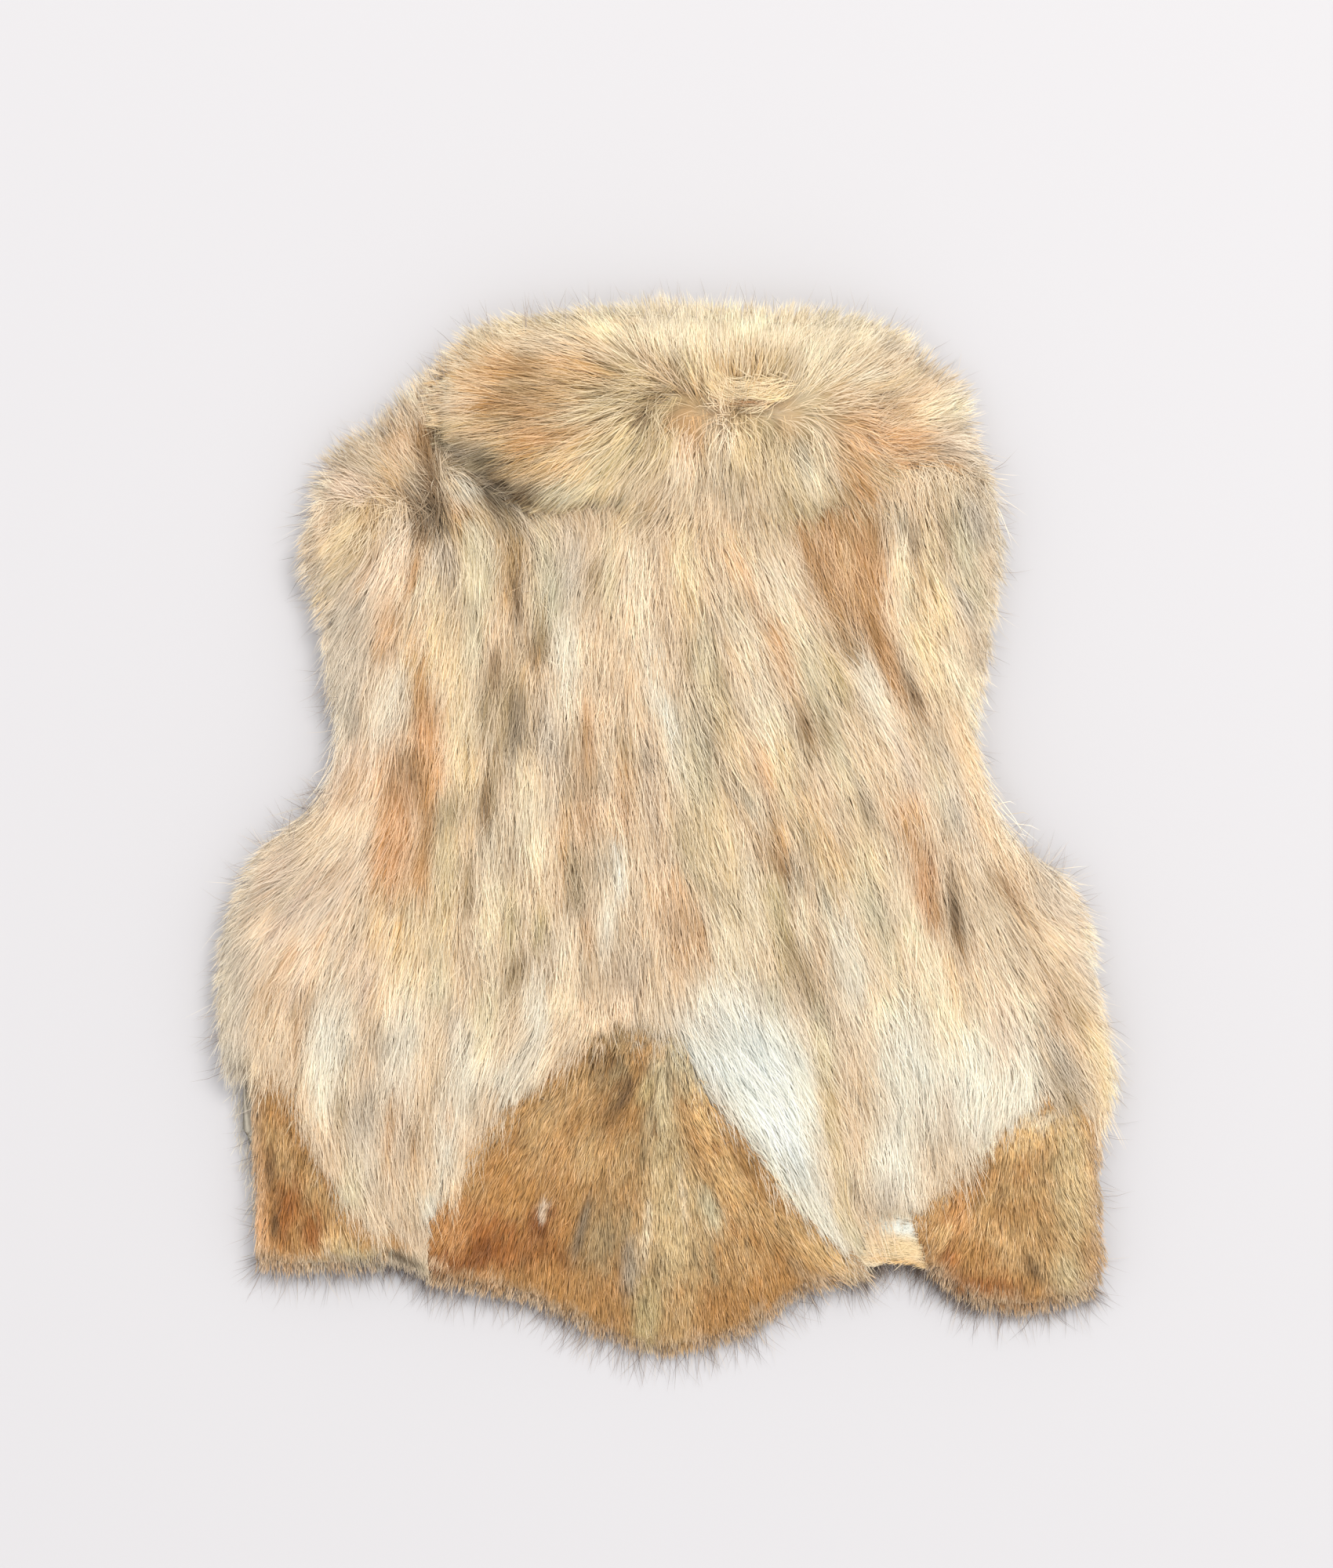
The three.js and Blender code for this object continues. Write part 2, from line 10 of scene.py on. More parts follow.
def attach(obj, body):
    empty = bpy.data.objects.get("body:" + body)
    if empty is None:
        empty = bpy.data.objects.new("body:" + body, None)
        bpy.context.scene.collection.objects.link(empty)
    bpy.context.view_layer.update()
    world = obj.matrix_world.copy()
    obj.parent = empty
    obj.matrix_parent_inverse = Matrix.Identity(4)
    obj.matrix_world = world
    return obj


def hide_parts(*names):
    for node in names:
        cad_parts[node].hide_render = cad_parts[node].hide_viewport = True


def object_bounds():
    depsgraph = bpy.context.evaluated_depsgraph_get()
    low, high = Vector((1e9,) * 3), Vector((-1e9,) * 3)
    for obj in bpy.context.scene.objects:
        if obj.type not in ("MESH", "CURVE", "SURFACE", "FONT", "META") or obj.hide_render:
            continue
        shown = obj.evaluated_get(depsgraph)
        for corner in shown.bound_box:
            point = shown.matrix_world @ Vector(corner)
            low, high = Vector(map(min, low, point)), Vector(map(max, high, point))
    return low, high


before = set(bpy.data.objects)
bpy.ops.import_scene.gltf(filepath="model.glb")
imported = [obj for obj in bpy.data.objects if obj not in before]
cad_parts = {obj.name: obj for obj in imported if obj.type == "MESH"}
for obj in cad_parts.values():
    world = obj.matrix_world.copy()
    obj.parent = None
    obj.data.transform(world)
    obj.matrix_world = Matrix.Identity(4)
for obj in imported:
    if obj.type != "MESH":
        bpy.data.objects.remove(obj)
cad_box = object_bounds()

# Camera. It hangs straight above the table and looks down, with the collar at the top of the picture.
# A long lens from three metres up keeps the thick fur from leaning outwards at the edges.
PICTURE_LENGTH = 0.960
PICTURE_MIDDLE_Y = 0.0295
CAMERA_HEIGHT = 3.0
FUR_LEVEL = 0.03
SENSOR = 36.0

camera_data = bpy.data.cameras.new("camera")
camera_data.sensor_width = SENSOR
camera_data.lens = SENSOR * (CAMERA_HEIGHT - FUR_LEVEL) / PICTURE_LENGTH
camera = bpy.data.objects.new("camera", camera_data)
camera.location = (0.0, PICTURE_MIDDLE_Y, CAMERA_HEIGHT)
bpy.context.collection.objects.link(camera)
bpy.context.scene.camera = camera

# Table and light. The table is a pale matt board, lit by a big soft window high on the right and by a bright
# even room, so the shadow falls softly to the left and below the hem.
bpy.context.scene.view_settings.view_transform = "Standard"


def srgb(hex_colour):
    """A hex colour as linear red, green, blue."""
    parts = np.array([int(hex_colour[i:i + 2], 16) for i in (1, 3, 5)]) / 255
    return np.where(parts <= 0.04045, parts / 12.92, ((parts + 0.055) / 1.055) ** 2.4)


def add_node(tree, kind, links=(), **settings):
    """Adds a shader node, sets what is named, and links its sockets: (input, other node, its output)."""
    node = tree.nodes.new(kind)
    for key, value in settings.items():
        if hasattr(node, key):
            setattr(node, key, value)
        else:
            node.inputs[key.replace("_", " ")].default_value = value
    for own, other, out in links:
        tree.links.new(other.outputs[out], node.inputs[own])
    return node


def new_material(name):
    """An empty material and its node tree."""
    material = bpy.data.materials.new(name)
    material.use_nodes = True
    tree = material.node_tree
    tree.nodes.clear()
    return material, tree


TABLE_SIZE = 6.0
board, tree = new_material("matt_painted_board")
paint = add_node(tree, "ShaderNodeBsdfPrincipled", Base_Color=(*srgb("#c7c5c6"), 1), Roughness=0.9)
add_node(tree, "ShaderNodeOutputMaterial", [("Surface", paint, "BSDF")])
bpy.ops.mesh.primitive_plane_add(size=TABLE_SIZE, location=(0, 0, 0))
table = bpy.context.object
table.name = "table"
table.data.materials.append(board)

WINDOW_AT = Vector((2.3, 3.6, 6.1))
WINDOW_SIZE = 3.6
WINDOW_POWER = 345
window_data = bpy.data.lights.new("window", "AREA")
window_data.energy = WINDOW_POWER
window_data.size = WINDOW_SIZE
window_data.color = (1.0, 0.985, 0.96)
window = bpy.data.objects.new("window", window_data)
window.location = WINDOW_AT
window.rotation_euler = (-WINDOW_AT).to_track_quat("-Z", "Y").to_euler()
bpy.context.collection.objects.link(window)

ROOM_LIGHT = 1.07
room = bpy.data.worlds.new("room")
room.use_nodes = True
background = room.node_tree.nodes["Background"]
background.inputs["Color"].default_value = (0.975, 0.975, 0.99, 1)
background.inputs["Strength"].default_value = ROOM_LIGHT
bpy.context.scene.world = room

# The fronts. Two pale pelts lie face down on the table, their pile pressed under them, and show only as a
# soft rim past the back. Like every pelt of the vest each is a hide with its dense underfur, and hair on it.
CELL = 0.002
MARGIN = 0.045
low, high = cad_box
GRID_X = np.arange(low.x - MARGIN, high.x + MARGIN, CELL)
GRID_Y = np.arange(low.y - MARGIN, high.y + MARGIN, CELL)
grid_x, grid_y = np.meshgrid(GRID_X, GRID_Y)

FRONTS = ["front_left", "front_right"]
COLLAR_ENDS = ["collar_end_left", "collar_end_right"]
BACK = ["back_left", "back_centre", "back_right"]
HEM = ["hem_left", "hem_centre", "hem_right"]
GUSSETS = ["gusset_left", "gusset_right"]
SHOULDERS = ["shoulder_left", "shoulder_right"]
COLLAR = ["collar_left", "collar_right", "collar_top"]


def topmost(names):
    """What lies on top at each grid point: its height, and which of these pelts it is, or -1."""
    points, faces, owners = [], [], []
    for number, name in enumerate(names):
        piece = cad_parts[name]
        first = len(points)
        points += [piece.matrix_world @ v.co for v in piece.data.vertices]
        faces += [[first + i for i in face.vertices] for face in piece.data.polygons]
        owners += [number] * len(piece.data.polygons)
    tree = BVHTree.FromPolygons(points, faces)
    down = Vector((0, 0, -1))
    heights = np.full(grid_x.shape, np.nan)
    owner = np.full(grid_x.shape, -1)
    for row, y in enumerate(GRID_Y):
        for column, x in enumerate(GRID_X):
            spot, _, face, _ = tree.ray_cast(Vector((x, y, 1.0)), down)
            if spot:
                heights[row, column] = spot.z
                owner[row, column] = owners[face]
    return heights, owner


def around(values, fill):
    """The nine neighbours of each grid point, itself among them."""
    padded = np.pad(values, [(1, 1), (1, 1)] + [(0, 0)] * (values.ndim - 2), **fill)
    tall, wide = values.shape[:2]
    return np.stack([padded[i:i + tall, j:j + wide] for i in range(3) for j in range(3)])


def blur(values, times):
    """Softens a raster with a small box, again and again."""
    for _ in range(times):
        values = around(values, {"mode": "edge"}).mean(0)
    return values


def carry_out(heights, fall):
    """Carries a surface out past its edge, falling by so much for each cell."""
    heights = heights.copy()
    while np.isnan(heights).any():
        near = around(heights, {"constant_values": np.nan})
        known = ~np.isnan(near)
        mean = np.where(known, near, 0).sum(0) / np.maximum(known.sum(0), 1)
        grow_here = np.isnan(heights) & known.any(0)
        heights[grow_here] = mean[grow_here] - fall
    return heights


def sample(raster, x, y):
    """The raster's value at any place, blended between its cells."""
    across = np.clip((x - GRID_X[0]) / CELL, 0, len(GRID_X) - 1.001)
    along = np.clip((y - GRID_Y[0]) / CELL, 0, len(GRID_Y) - 1.001)
    i, j = across.astype(int), along.astype(int)
    u, v = across - i, along - j
    if raster.ndim == 3:
        u, v = u[..., None], v[..., None]
    return ((raster[j, i] * (1 - u) + raster[j, i + 1] * u) * (1 - v)
            + (raster[j + 1, i] * (1 - u) + raster[j + 1, i + 1] * u) * v)


# Surfaces fall off past the vest's edge and the steps between pelts are softened. Roots are planted up to
# sixteen millimetres under the collar's edge, so that no bare strip shows beside it.
EDGE_FALL = 0.0013
SOFT_STEP = 7
TUCK_CELLS = 8
BACK_ORDER = BACK + HEM + GUSSETS + SHOULDERS
front_height, front_owner = topmost(FRONTS + COLLAR_ENDS)
back_height, back_owner = topmost(BACK_ORDER)
collar_height, collar_owner = topmost(COLLAR)
all_height = np.where(np.isnan(collar_height), back_height, collar_height)
over_front = blur(carry_out(front_height, EDGE_FALL), 1)
over_back = blur(carry_out(back_height, EDGE_FALL), SOFT_STEP)
over_all = blur(carry_out(all_height, EDGE_FALL), SOFT_STEP)
under_collar = collar_owner >= 0
for _ in range(TUCK_CELLS):
    under_collar = around(under_collar, {"constant_values": False}).all(0)
on_back = blur((~np.isnan(all_height)).astype(float), 1)
on_front = blur((front_owner >= 0).astype(float), 1)

# Coat colours as they look, as on a wild dog: pale belly, sandy flanks, rusty legs, a back with dark tips.
# A single hair is paler than the coat, since hairs shade each other: its colour is the coat's, lifted.
COLOURS = {name: srgb(code) for name, code in {
    "frost": "#e8e7dc", "ivory": "#eae2d0", "milk": "#e4d9c4", "cream": "#ead8b8", "corn": "#e8d0a4",
    "gold": "#e4c28c", "straw": "#d9c296", "hay": "#d6c8a6", "olive": "#c8b384", "honey": "#d2ae7a",
    "sand": "#dcc3a0", "beige": "#d6bd9e", "ash": "#cfbfa8", "blush": "#dac1a7", "pink": "#e5cfb4",
    "blossom": "#eedabc", "peach": "#eccda3", "apricot": "#e6bb88", "fawn": "#cca97e", "orange": "#d4a268",
    "ochre": "#c7985c", "tan": "#c2965e", "rust": "#b0743a", "umber": "#985f2c", "brown": "#9f7a4c",
    "bark": "#7c5f3e", "drab": "#b39a72", "slate": "#95826a", "smoke": "#b3a28c",
    # shade is no coat colour but painted shade, for creases, slits and the dark under overhanging edges.
    "shade": "#54442f",
}.items()}
LIFT = np.array([1.175, 1.215, 1.26])
LIFT_POWER = 1.16
PATCH_COVER = 0.95
PATCH_EDGE = 1.6
# How deep a place lies in the vest, from a half at its edge to one well inside. The rim starts below this.
depth_in_vest = blur(on_back, 30)
RIM_STARTS = 0.85
RIM_SPAN = 0.4


def coat_colours(base, patches, rim_light=0.42):
    """The coat's colour at each grid point: a base with soft patches laid over it, in the order given.
    At the free edge the pile thins and light comes through it, so it is paler there."""
    colours = np.broadcast_to(COLOURS[base], (*grid_x.shape, 3)).copy()
    for x, y, along, across, lean, name in patches:
        turn = math.radians(lean)
        dx, dy = grid_x - x / 1000, grid_y - y / 1000
        u = (dx * math.cos(turn) + dy * math.sin(turn)) / (along / 1000)
        v = (dy * math.cos(turn) - dx * math.sin(turn)) / (across / 1000)
        cover = PATCH_COVER * np.exp(-((u * u + v * v) ** PATCH_EDGE))[..., None]
        colours = colours * (1 - cover) + COLOURS[name] * cover
    cover = rim_light * np.clip((RIM_STARTS - depth_in_vest) / RIM_SPAN, 0, 1)[..., None]
    colours = colours * (1 - cover) + COLOURS["ivory"] * cover
    return LIFT * colours ** LIFT_POWER


FLOW_CORE = 0.006
FLOW_FADE = -1.6


def hair_flow(rows):
    """Which way the hair lies at each grid point, blended from the nearest rows, as a direction."""
    total = np.zeros((*grid_x.shape, 2))
    for x, y, heading in rows:
        near = ((grid_x - x / 1000) ** 2 + (grid_y - y / 1000) ** 2 + FLOW_CORE ** 2) ** FLOW_FADE
        turn = math.radians(heading)
        total += near[..., None] * np.array([math.cos(turn), math.sin(turn)])
    return total / np.linalg.norm(total, axis=-1, keepdims=True)


# Woolly underfur. Matt, with a fine streaky relief: what shows between the hairs.
wool, tree = new_material("woolly_underfur")
colour = add_node(tree, "ShaderNodeAttribute", attribute_name="coat")
strands = add_node(tree, "ShaderNodeTexNoise", Scale=900.0, Detail=3.0)
relief = add_node(tree, "ShaderNodeBump", [("Height", strands, "Fac")], Strength=0.6, Distance=0.002)
surface = add_node(tree, "ShaderNodeBsdfPrincipled",
                   [("Base Color", colour, "Color"), ("Normal", relief, "Normal")], Roughness=0.9)
add_node(tree, "ShaderNodeOutputMaterial", [("Surface", surface, "BSDF")])

# Guard hair. Smooth and waxy, so it has a soft shine, and dark at the root and pale at the tip.
hair_material, tree = new_material("guard_hair")
colour = add_node(tree, "ShaderNodeAttribute", attribute_name="coat")
surface = add_node(tree, "ShaderNodeBsdfPrincipled", [("Base Color", colour, "Color")], Roughness=0.5)
surface.inputs["Specular IOR Level"].default_value = 0.3
add_node(tree, "ShaderNodeOutputMaterial", [("Surface", surface, "BSDF")])

# The underfur is drawn darker than its coat by this share: painted shade of the hair lying over it.
UNDERFUR_SHADE = 0.72
rng = np.random.default_rng(20)


def join(piece):
    """Puts a piece on the vest's one body."""
    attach(piece, "root")


def lay_hide(name, colours, depth, side, voxel=0.006):
    """One pelt's hide: its node's form, drawn in by depth from above and by side at the vest's free edge."""
    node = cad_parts[name]
    hide = bpy.data.objects.new(name + "_hide", node.data.copy())
    hide.matrix_world = node.matrix_world.copy()
    bpy.context.collection.objects.link(hide)
    remesh = hide.modifiers.new("even_mesh", "REMESH")
    remesh.mode = "VOXEL"
    remesh.voxel_size = voxel
    made = bpy.data.meshes.new_from_object(hide.evaluated_get(bpy.context.evaluated_depsgraph_get()))
    hide.modifiers.clear()
    hide.data = made
    count = len(made.vertices)
    place, normal = np.empty(count * 3), np.empty(count * 3)
    made.vertices.foreach_get("co", place)
    made.vertices.foreach_get("normal", normal)
    place, normal = place.reshape(-1, 3), normal.reshape(-1, 3)
    free = np.clip(4 * (0.95 - sample(on_back, place[:, 0], place[:, 1])), 0, 1)[:, None]
    place[:, :2] -= side * free * normal[:, :2]
    place[:, 2] -= depth * np.clip(normal[:, 2], 0, 1)
    made.vertices.foreach_set("co", place.ravel())
    tint = np.ones((count, 4))
    tint[:, :3] = sample(colours, place[:, 0], place[:, 1]) * UNDERFUR_SHADE
    made.color_attributes.new("coat", "FLOAT_COLOR", "POINT").data.foreach_set("color", tint.ravel())
    made.polygons.foreach_set("use_smooth", np.ones(len(made.polygons), bool))
    made.materials.clear()
    made.materials.append(wool)
    made.update()
    join(hide)
    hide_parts(name)
    return hide


def ribbon_mesh(name, centre, side, colours, material):
    """A mesh of tapered ribbons from arrays: centres, half widths as vectors, and colours, by strand."""
    count, points = centre.shape[:2]
    steps = points - 1
    per = 2 * steps + 1
    verts = np.empty((count, per, 3))
    tints = np.ones((count, per, 4))
    verts[:, 0:2 * steps:2] = centre[:, :-1] - side[:, :-1]
    verts[:, 1:2 * steps:2] = centre[:, :-1] + side[:, :-1]
    verts[:, -1] = centre[:, -1]
    tints[:, 0:2 * steps:2, :3] = colours[:, :-1]
    tints[:, 1:2 * steps:2, :3] = colours[:, :-1]
    tints[:, -1, :3] = colours[:, -1]
    quads = [[2 * k, 2 * k + 1, 2 * k + 3, 2 * k + 2] for k in range(steps - 1)]
    corners = np.array([i for quad in quads for i in quad] + [per - 3, per - 2, per - 1])
    sizes = np.array([4] * (steps - 1) + [3])
    mesh = bpy.data.meshes.new(name)
    mesh.vertices.add(count * per)
    mesh.vertices.foreach_set("co", verts.ravel())
    mesh.loops.add(count * len(corners))
    mesh.loops.foreach_set("vertex_index", (corners + per * np.arange(count)[:, None]).ravel())
    mesh.polygons.add(count * len(sizes))
    starts = np.concatenate([[0], np.cumsum(sizes)[:-1]])
    mesh.polygons.foreach_set("loop_start", (starts + len(corners) * np.arange(count)[:, None]).ravel())
    mesh.polygons.foreach_set("use_smooth", np.ones(count * len(sizes), bool))
    mesh.update(calc_edges=True)
    mesh.color_attributes.new("coat", "FLOAT_COLOR", "POINT").data.foreach_set("color", tints.ravel())
    # Each strand has its own small cell of the colour map, narrow across and long from root to tip.
    cells = math.ceil(math.sqrt(count))
    u = np.array([0.2 if i % 2 == 0 else 0.8 for i in range(per - 1)] + [0.5])
    v = np.array([0.1 + 0.8 * (i // 2) / steps for i in range(per - 1)] + [0.9])
    column, row = np.arange(count) % cells, np.arange(count) // cells
    uv = np.stack([(column[:, None] + u) / cells, (row[:, None] + v) / cells], -1)[:, corners]
    mesh.uv_layers.new(name="OFBake").data.foreach_set("uv", uv.ravel())
    mesh.materials.append(material)
    mesh.validate()
    made = bpy.data.objects.new(name, mesh)
    bpy.context.collection.objects.link(made)
    return made


def lay_ribbons(centre, width, roll):
    """The half widths of ribbons along their centre lines: level, then rolled by so much."""
    tangent = np.gradient(centre, axis=1)
    tangent /= np.linalg.norm(tangent, axis=-1, keepdims=True) + 1e-9
    level = np.cross(tangent, [0, 0, 1])
    level /= np.linalg.norm(level, axis=-1, keepdims=True) + 1e-9
    upright = np.cross(level, tangent)
    roll = roll[:, None, None]
    profile = np.array([0.7, 1.0, 0.8, 0.0])[None, :, None]
    return (level * np.cos(roll) + upright * np.sin(roll)) * width[:, None, None] / 2 * profile


# A lock's guide is longer than its hairs. A hair is worked out at four points, and a plain one keeps three.
GUIDE_STEPS = 8
GUIDE_REACH = 1.4
HAIR_STEPS = 3
PLAIN = [0, 2, 3]
CURVED = [0, 1, 2, 3]
ROOM_STEP = 0.0025
PAST_END = 0.004
TABLE_GAP = 0.0012
SQUARE_CM = 10000
SPARE_ROOTS = 1.9
OVERHAIR_WIDTH = 0.72
RIM_HAIR_WIDTH = 0.75
# Overhair on top is drawn a little lighter and the hair under it darker: painted light and shade of the
# layers.
OVERHAIR_PAINTED_LIGHT = 1.04
UNDERHAIR_PAINTED_SHADE = 0.93
DARK_HAIR = 0.7
IVORY_TIP = srgb("#fff4e0")
DARK_ROOT = srgb("#7a634a")


class Coat:
    """The fur that grows on a group of pelts: its colours, lie, surface, kind of hair, locks, and how far it
    spills over its neighbours."""

    def __init__(self, names, owner, owners, colours, flow, height, kind, spill=None):
        self.owner, self.owners = owner, owners
        self.spill = np.ones(grid_x.shape) if spill is None else spill
        self.colours, self.flow, self.height, self.kind = colours, flow, height, kind
        self.ground = np.isin(owner, [owners.index(name) for name in names]).astype(float)
        self.covered = under_collar & (owner is not collar_owner)
        self.tufts = [self.plant_locks(*lock) for lock in kind["locks"]]

    def plant_locks(self, spacing, pull, rise, stagger, tint):
        """Lock centres on a shaken grid, and for each a path, a rise, a colour shift along it and a tint."""
        x, y = np.meshgrid(np.arange(GRID_X[0], GRID_X[-1], spacing),
                           np.arange(GRID_Y[0], GRID_Y[-1], spacing))
        x = x.ravel() + rng.uniform(-0.5, 0.5, x.size) * spacing
        y = y.ravel() + rng.uniform(-0.5, 0.5, y.size) * spacing
        near = sample(blur(self.ground, 4), x, y) > 0.02
        x, y = x[near], y[near]
        step = np.full(x.size, self.kind["length"] * GUIDE_REACH / GUIDE_STEPS)
        path = self.path(x, y, step, GUIDE_STEPS, rng.normal(0, self.kind["wander"], x.size),
                         rng.normal(0, self.kind["bend"], x.size))
        tree = KDTree(x.size)
        for i, place in enumerate(zip(x, y)):
            tree.insert((*place, 0), i)
        tree.balance()
        return {"tree": tree, "path": path, "pull": pull, "rise": rng.normal(0, rise, x.size),
                "stagger": rng.normal(0, stagger, x.size), "tint": rng.normal(0, tint, x.size),
                "hue": rng.normal(0, 1, x.size), "spill": rng.uniform(0.2, 1.8, x.size)}

    def nearest(self, tuft, x, y):
        """The lock that each root belongs to."""
        return np.array([tuft["tree"].find((a, b, 0))[1] for a, b in zip(x, y)])

    def path(self, x, y, step, steps, wander, bend):
        """Follows the lie of the coat from x, y and gives the places passed, one row for each strand."""
        places = [np.stack([x, y], -1)]
        for k in range(steps):
            here = places[-1]
            way = sample(self.flow, here[:, 0], here[:, 1])
            turn = wander + bend * (k / steps)
            cos, sin = np.cos(turn), np.sin(turn)
            way = np.stack([way[:, 0] * cos - way[:, 1] * sin, way[:, 0] * sin + way[:, 1] * cos], -1)
            places.append(here + way * step[:, None])
        return np.stack(places, 1)

    def room(self, x, y, far, sense):
        """How far the coat runs from x, y, forward (1) or back (-1), to its edge or a parting, and where."""
        step = ROOM_STEP
        here = np.stack([x, y], -1)
        way = sample(self.flow, x, y)
        run = np.zeros(x.size)
        going = np.ones(x.size, bool)
        for _ in range(int(far / step)):
            there = here + sense * step * way
            ahead = sample(self.flow, there[:, 0], there[:, 1])
            inside = sample(self.ground, there[:, 0], there[:, 1]) > 0.5
            going &= inside & ((way * ahead).sum(-1) > 0)
            here = np.where(going[:, None], there, here)
            way = np.where(going[:, None], ahead, way)
            run += np.where(going, step, 0)
        return run, here + sense * PAST_END * way, ~going


def roots_on(coat, name, count):
    """Random root places on one pelt, but not far under the collar."""
    cells = np.argwhere((coat.owner == coat.owners.index(name)) & ~coat.covered)
    chosen = cells[rng.integers(0, len(cells), count)]
    shake = rng.uniform(-0.5, 0.5, (count, 2))
    return GRID_X[chosen[:, 1]] + shake[:, 0] * CELL, GRID_Y[chosen[:, 0]] + shake[:, 1] * CELL


def tone(colour, shade, over, kind, t):
    """Colours along each strand: darker at the root, its own on most of it, and pale tips on the overhair."""
    colour = colour * np.clip(shade, 0.35, 1.4)[:, None, None]
    light = np.clip((colour.mean(-1, keepdims=True) - 0.2) / 0.35, 0.1, 1)
    tip = colour + kind["pale_tip"] * light * over[:, None, None] * (IVORY_TIP - colour)
    root = colour * kind["root_shade"] + DARK_ROOT * 0.10
    blend = 1 - (1 - t[None, :, None] ** 0.8) ** 1.8
    return np.clip(root * (1 - blend) + tip * blend, 0.01, 0.97)


def grow(coat, name, per_area, label=None):
    """Grows the hair of one pelt, laid over it along the coat, so many to the square centimetre.
    Its pieces have the pelt's name, or the label of a single lock on it."""
    kind = coat.kind
    area = ((coat.owner == coat.owners.index(name)) & ~coat.covered).sum() * CELL * CELL * SQUARE_CM
    x, y = roots_on(coat, name, int(per_area * area * SPARE_ROOTS))
    behind, _, _ = coat.room(x, y, 0.03, -1)
    keep = rng.random(x.size) < np.where(behind < 0.012, 1.0, 0.5)
    x, y, behind = x[keep], y[keep], behind[keep]
    # Where the coat parts, hair starts a little behind the parting, so that the two sides cross over it.
    parting = 1 - np.clip(behind / 0.015, 0, 1)
    back = parting * rng.uniform(0, kind["cross"], x.size)
    way = sample(coat.flow, x, y)
    ahead, end, stopped = coat.room(x, y, kind["length"] * 1.3, 1)
    ahead += back
    x, y = x - way[:, 0] * back, y - way[:, 1] * back
    over = rng.random(x.size) < kind["over_share"]
    length = kind["length"] * rng.uniform(0.6, 1.1, x.size) * np.where(over, 1.2, 1)
    length *= np.clip(0.62 + behind / 0.05, 0, 1)
    open_air = stopped & (sample(on_back, end[:, 0], end[:, 1]) < 0.5)
    wisp = over & (rng.random(x.size) < kind["wisps"])
    fringe = rng.exponential(np.where(wisp, kind["wisp_length"], kind["fringe"]))
    large_locks = coat.tufts[0]
    spill = large_locks["spill"][coat.nearest(large_locks, x, y)] * sample(coat.spill, end[:, 0], end[:, 1])
    past = np.where(open_air, np.minimum(fringe, 0.024) - kind["thin_edge"],
                    np.minimum(rng.exponential(kind["overlap"] * spill), 0.035))
    limit = np.maximum(ahead + past, kind["shortest"] * rng.uniform(0.7, 1.3, x.size))
    length = np.where(stopped, np.minimum(length, limit), length)
    count = min(x.size, int(per_area * area))
    x, y, length, parting, wisp, open_air, over, way = [
        v[:count] for v in (x, y, length, parting, wisp, open_air, over, way)]
    loose = np.where(over, kind["loose"], 1) * (1 + 2.5 * parting)
    own = coat.path(x, y, length / HAIR_STEPS, HAIR_STEPS, rng.normal(0, kind["wander"], count) * loose,
                    rng.normal(0, kind["bend"], count) * np.where(over, kind["loose"], 1))
    t = np.linspace(0, 1, HAIR_STEPS + 1)
    along = length[:, None] * t
    rise, shift, shade, hue = np.zeros(count), np.zeros(count), np.ones(count), np.zeros(count)
    for tuft in coat.tufts:
        nearest = coat.nearest(tuft, x, y)
        guide = tuft["path"][nearest]
        where = np.clip(along / (kind["length"] * GUIDE_REACH) * GUIDE_STEPS, 0, GUIDE_STEPS - 1e-6)
        first = where.astype(int)
        part = (where - first)[..., None]
        row = np.arange(count)[:, None]
        lead = guide[row, first] * (1 - part) + guide[row, first + 1] * part
        pull = tuft["pull"] * (np.where(over, 0.5, 1) * np.where(open_air, 0.5, 1))[:, None] * t ** 1.3
        own = own + pull[..., None] * (lead - own)
        rise += tuft["rise"][nearest]
        shift += tuft["stagger"][nearest]
        shade += tuft["tint"][nearest]
        hue += tuft["hue"][nearest]
    top = sample(coat.height, own[..., 0], own[..., 1])
    steep = (np.where(over, 2.3, 1.4) + 2 * parting)[:, None]
    sink = kind["sink"] * (1 - 0.5 * parting[:, None]) * (1 - t) ** steep
    raised = (rise + rng.normal(0, kind["stray"], count) + np.where(over, kind["over_rise"], 0))[:, None] * t
    z = np.maximum(top - sink + raised, TABLE_GAP + 0.001 * rng.random(count)[:, None])
    centre = np.concatenate([own, z[..., None]], -1)
    width = kind["width"] * rng.uniform(0.7, 1.3, count)
    width *= np.where(over, OVERHAIR_WIDTH, 1) * np.where(open_air, RIM_HAIR_WIDTH, 1)
    side = lay_ribbons(centre, width, rng.normal(0, kind["roll"], count))
    moved = way * (shift + rng.normal(0, kind["ragged"], count))[:, None]
    place = own + moved[:, None]
    colour = 0.5 * sample(coat.colours, place[..., 0], place[..., 1])
    place = (own[:, 2] + own[:, 3]) / 2 + moved
    colour += 0.5 * sample(coat.colours, place[:, 0], place[:, 1])[:, None]
    dark = rng.random(count) < kind["dark_share"]
    shade = shade + rng.normal(0, kind["hair_tint"], count)
    # Dark hairs are darker; the overhair gets painted light and the underhair painted shade.
    shade *= np.where(dark, DARK_HAIR, 1) * np.where(over, OVERHAIR_PAINTED_LIGHT, UNDERHAIR_PAINTED_SHADE)
    colour = colour * (1 + np.stack([hue, 0 * hue, -hue], -1) * 0.015)[:, None]
    tones = tone(colour, shade, over, kind, t)
    for layer, points, chosen in (("_hair", PLAIN, ~over), ("_overhair", kind["over_points"], over)):
        layer_parts = [part[chosen][:, points] for part in (centre, side, tones)]
        join(ribbon_mesh((label or name) + layer, *layer_parts, hair_material))


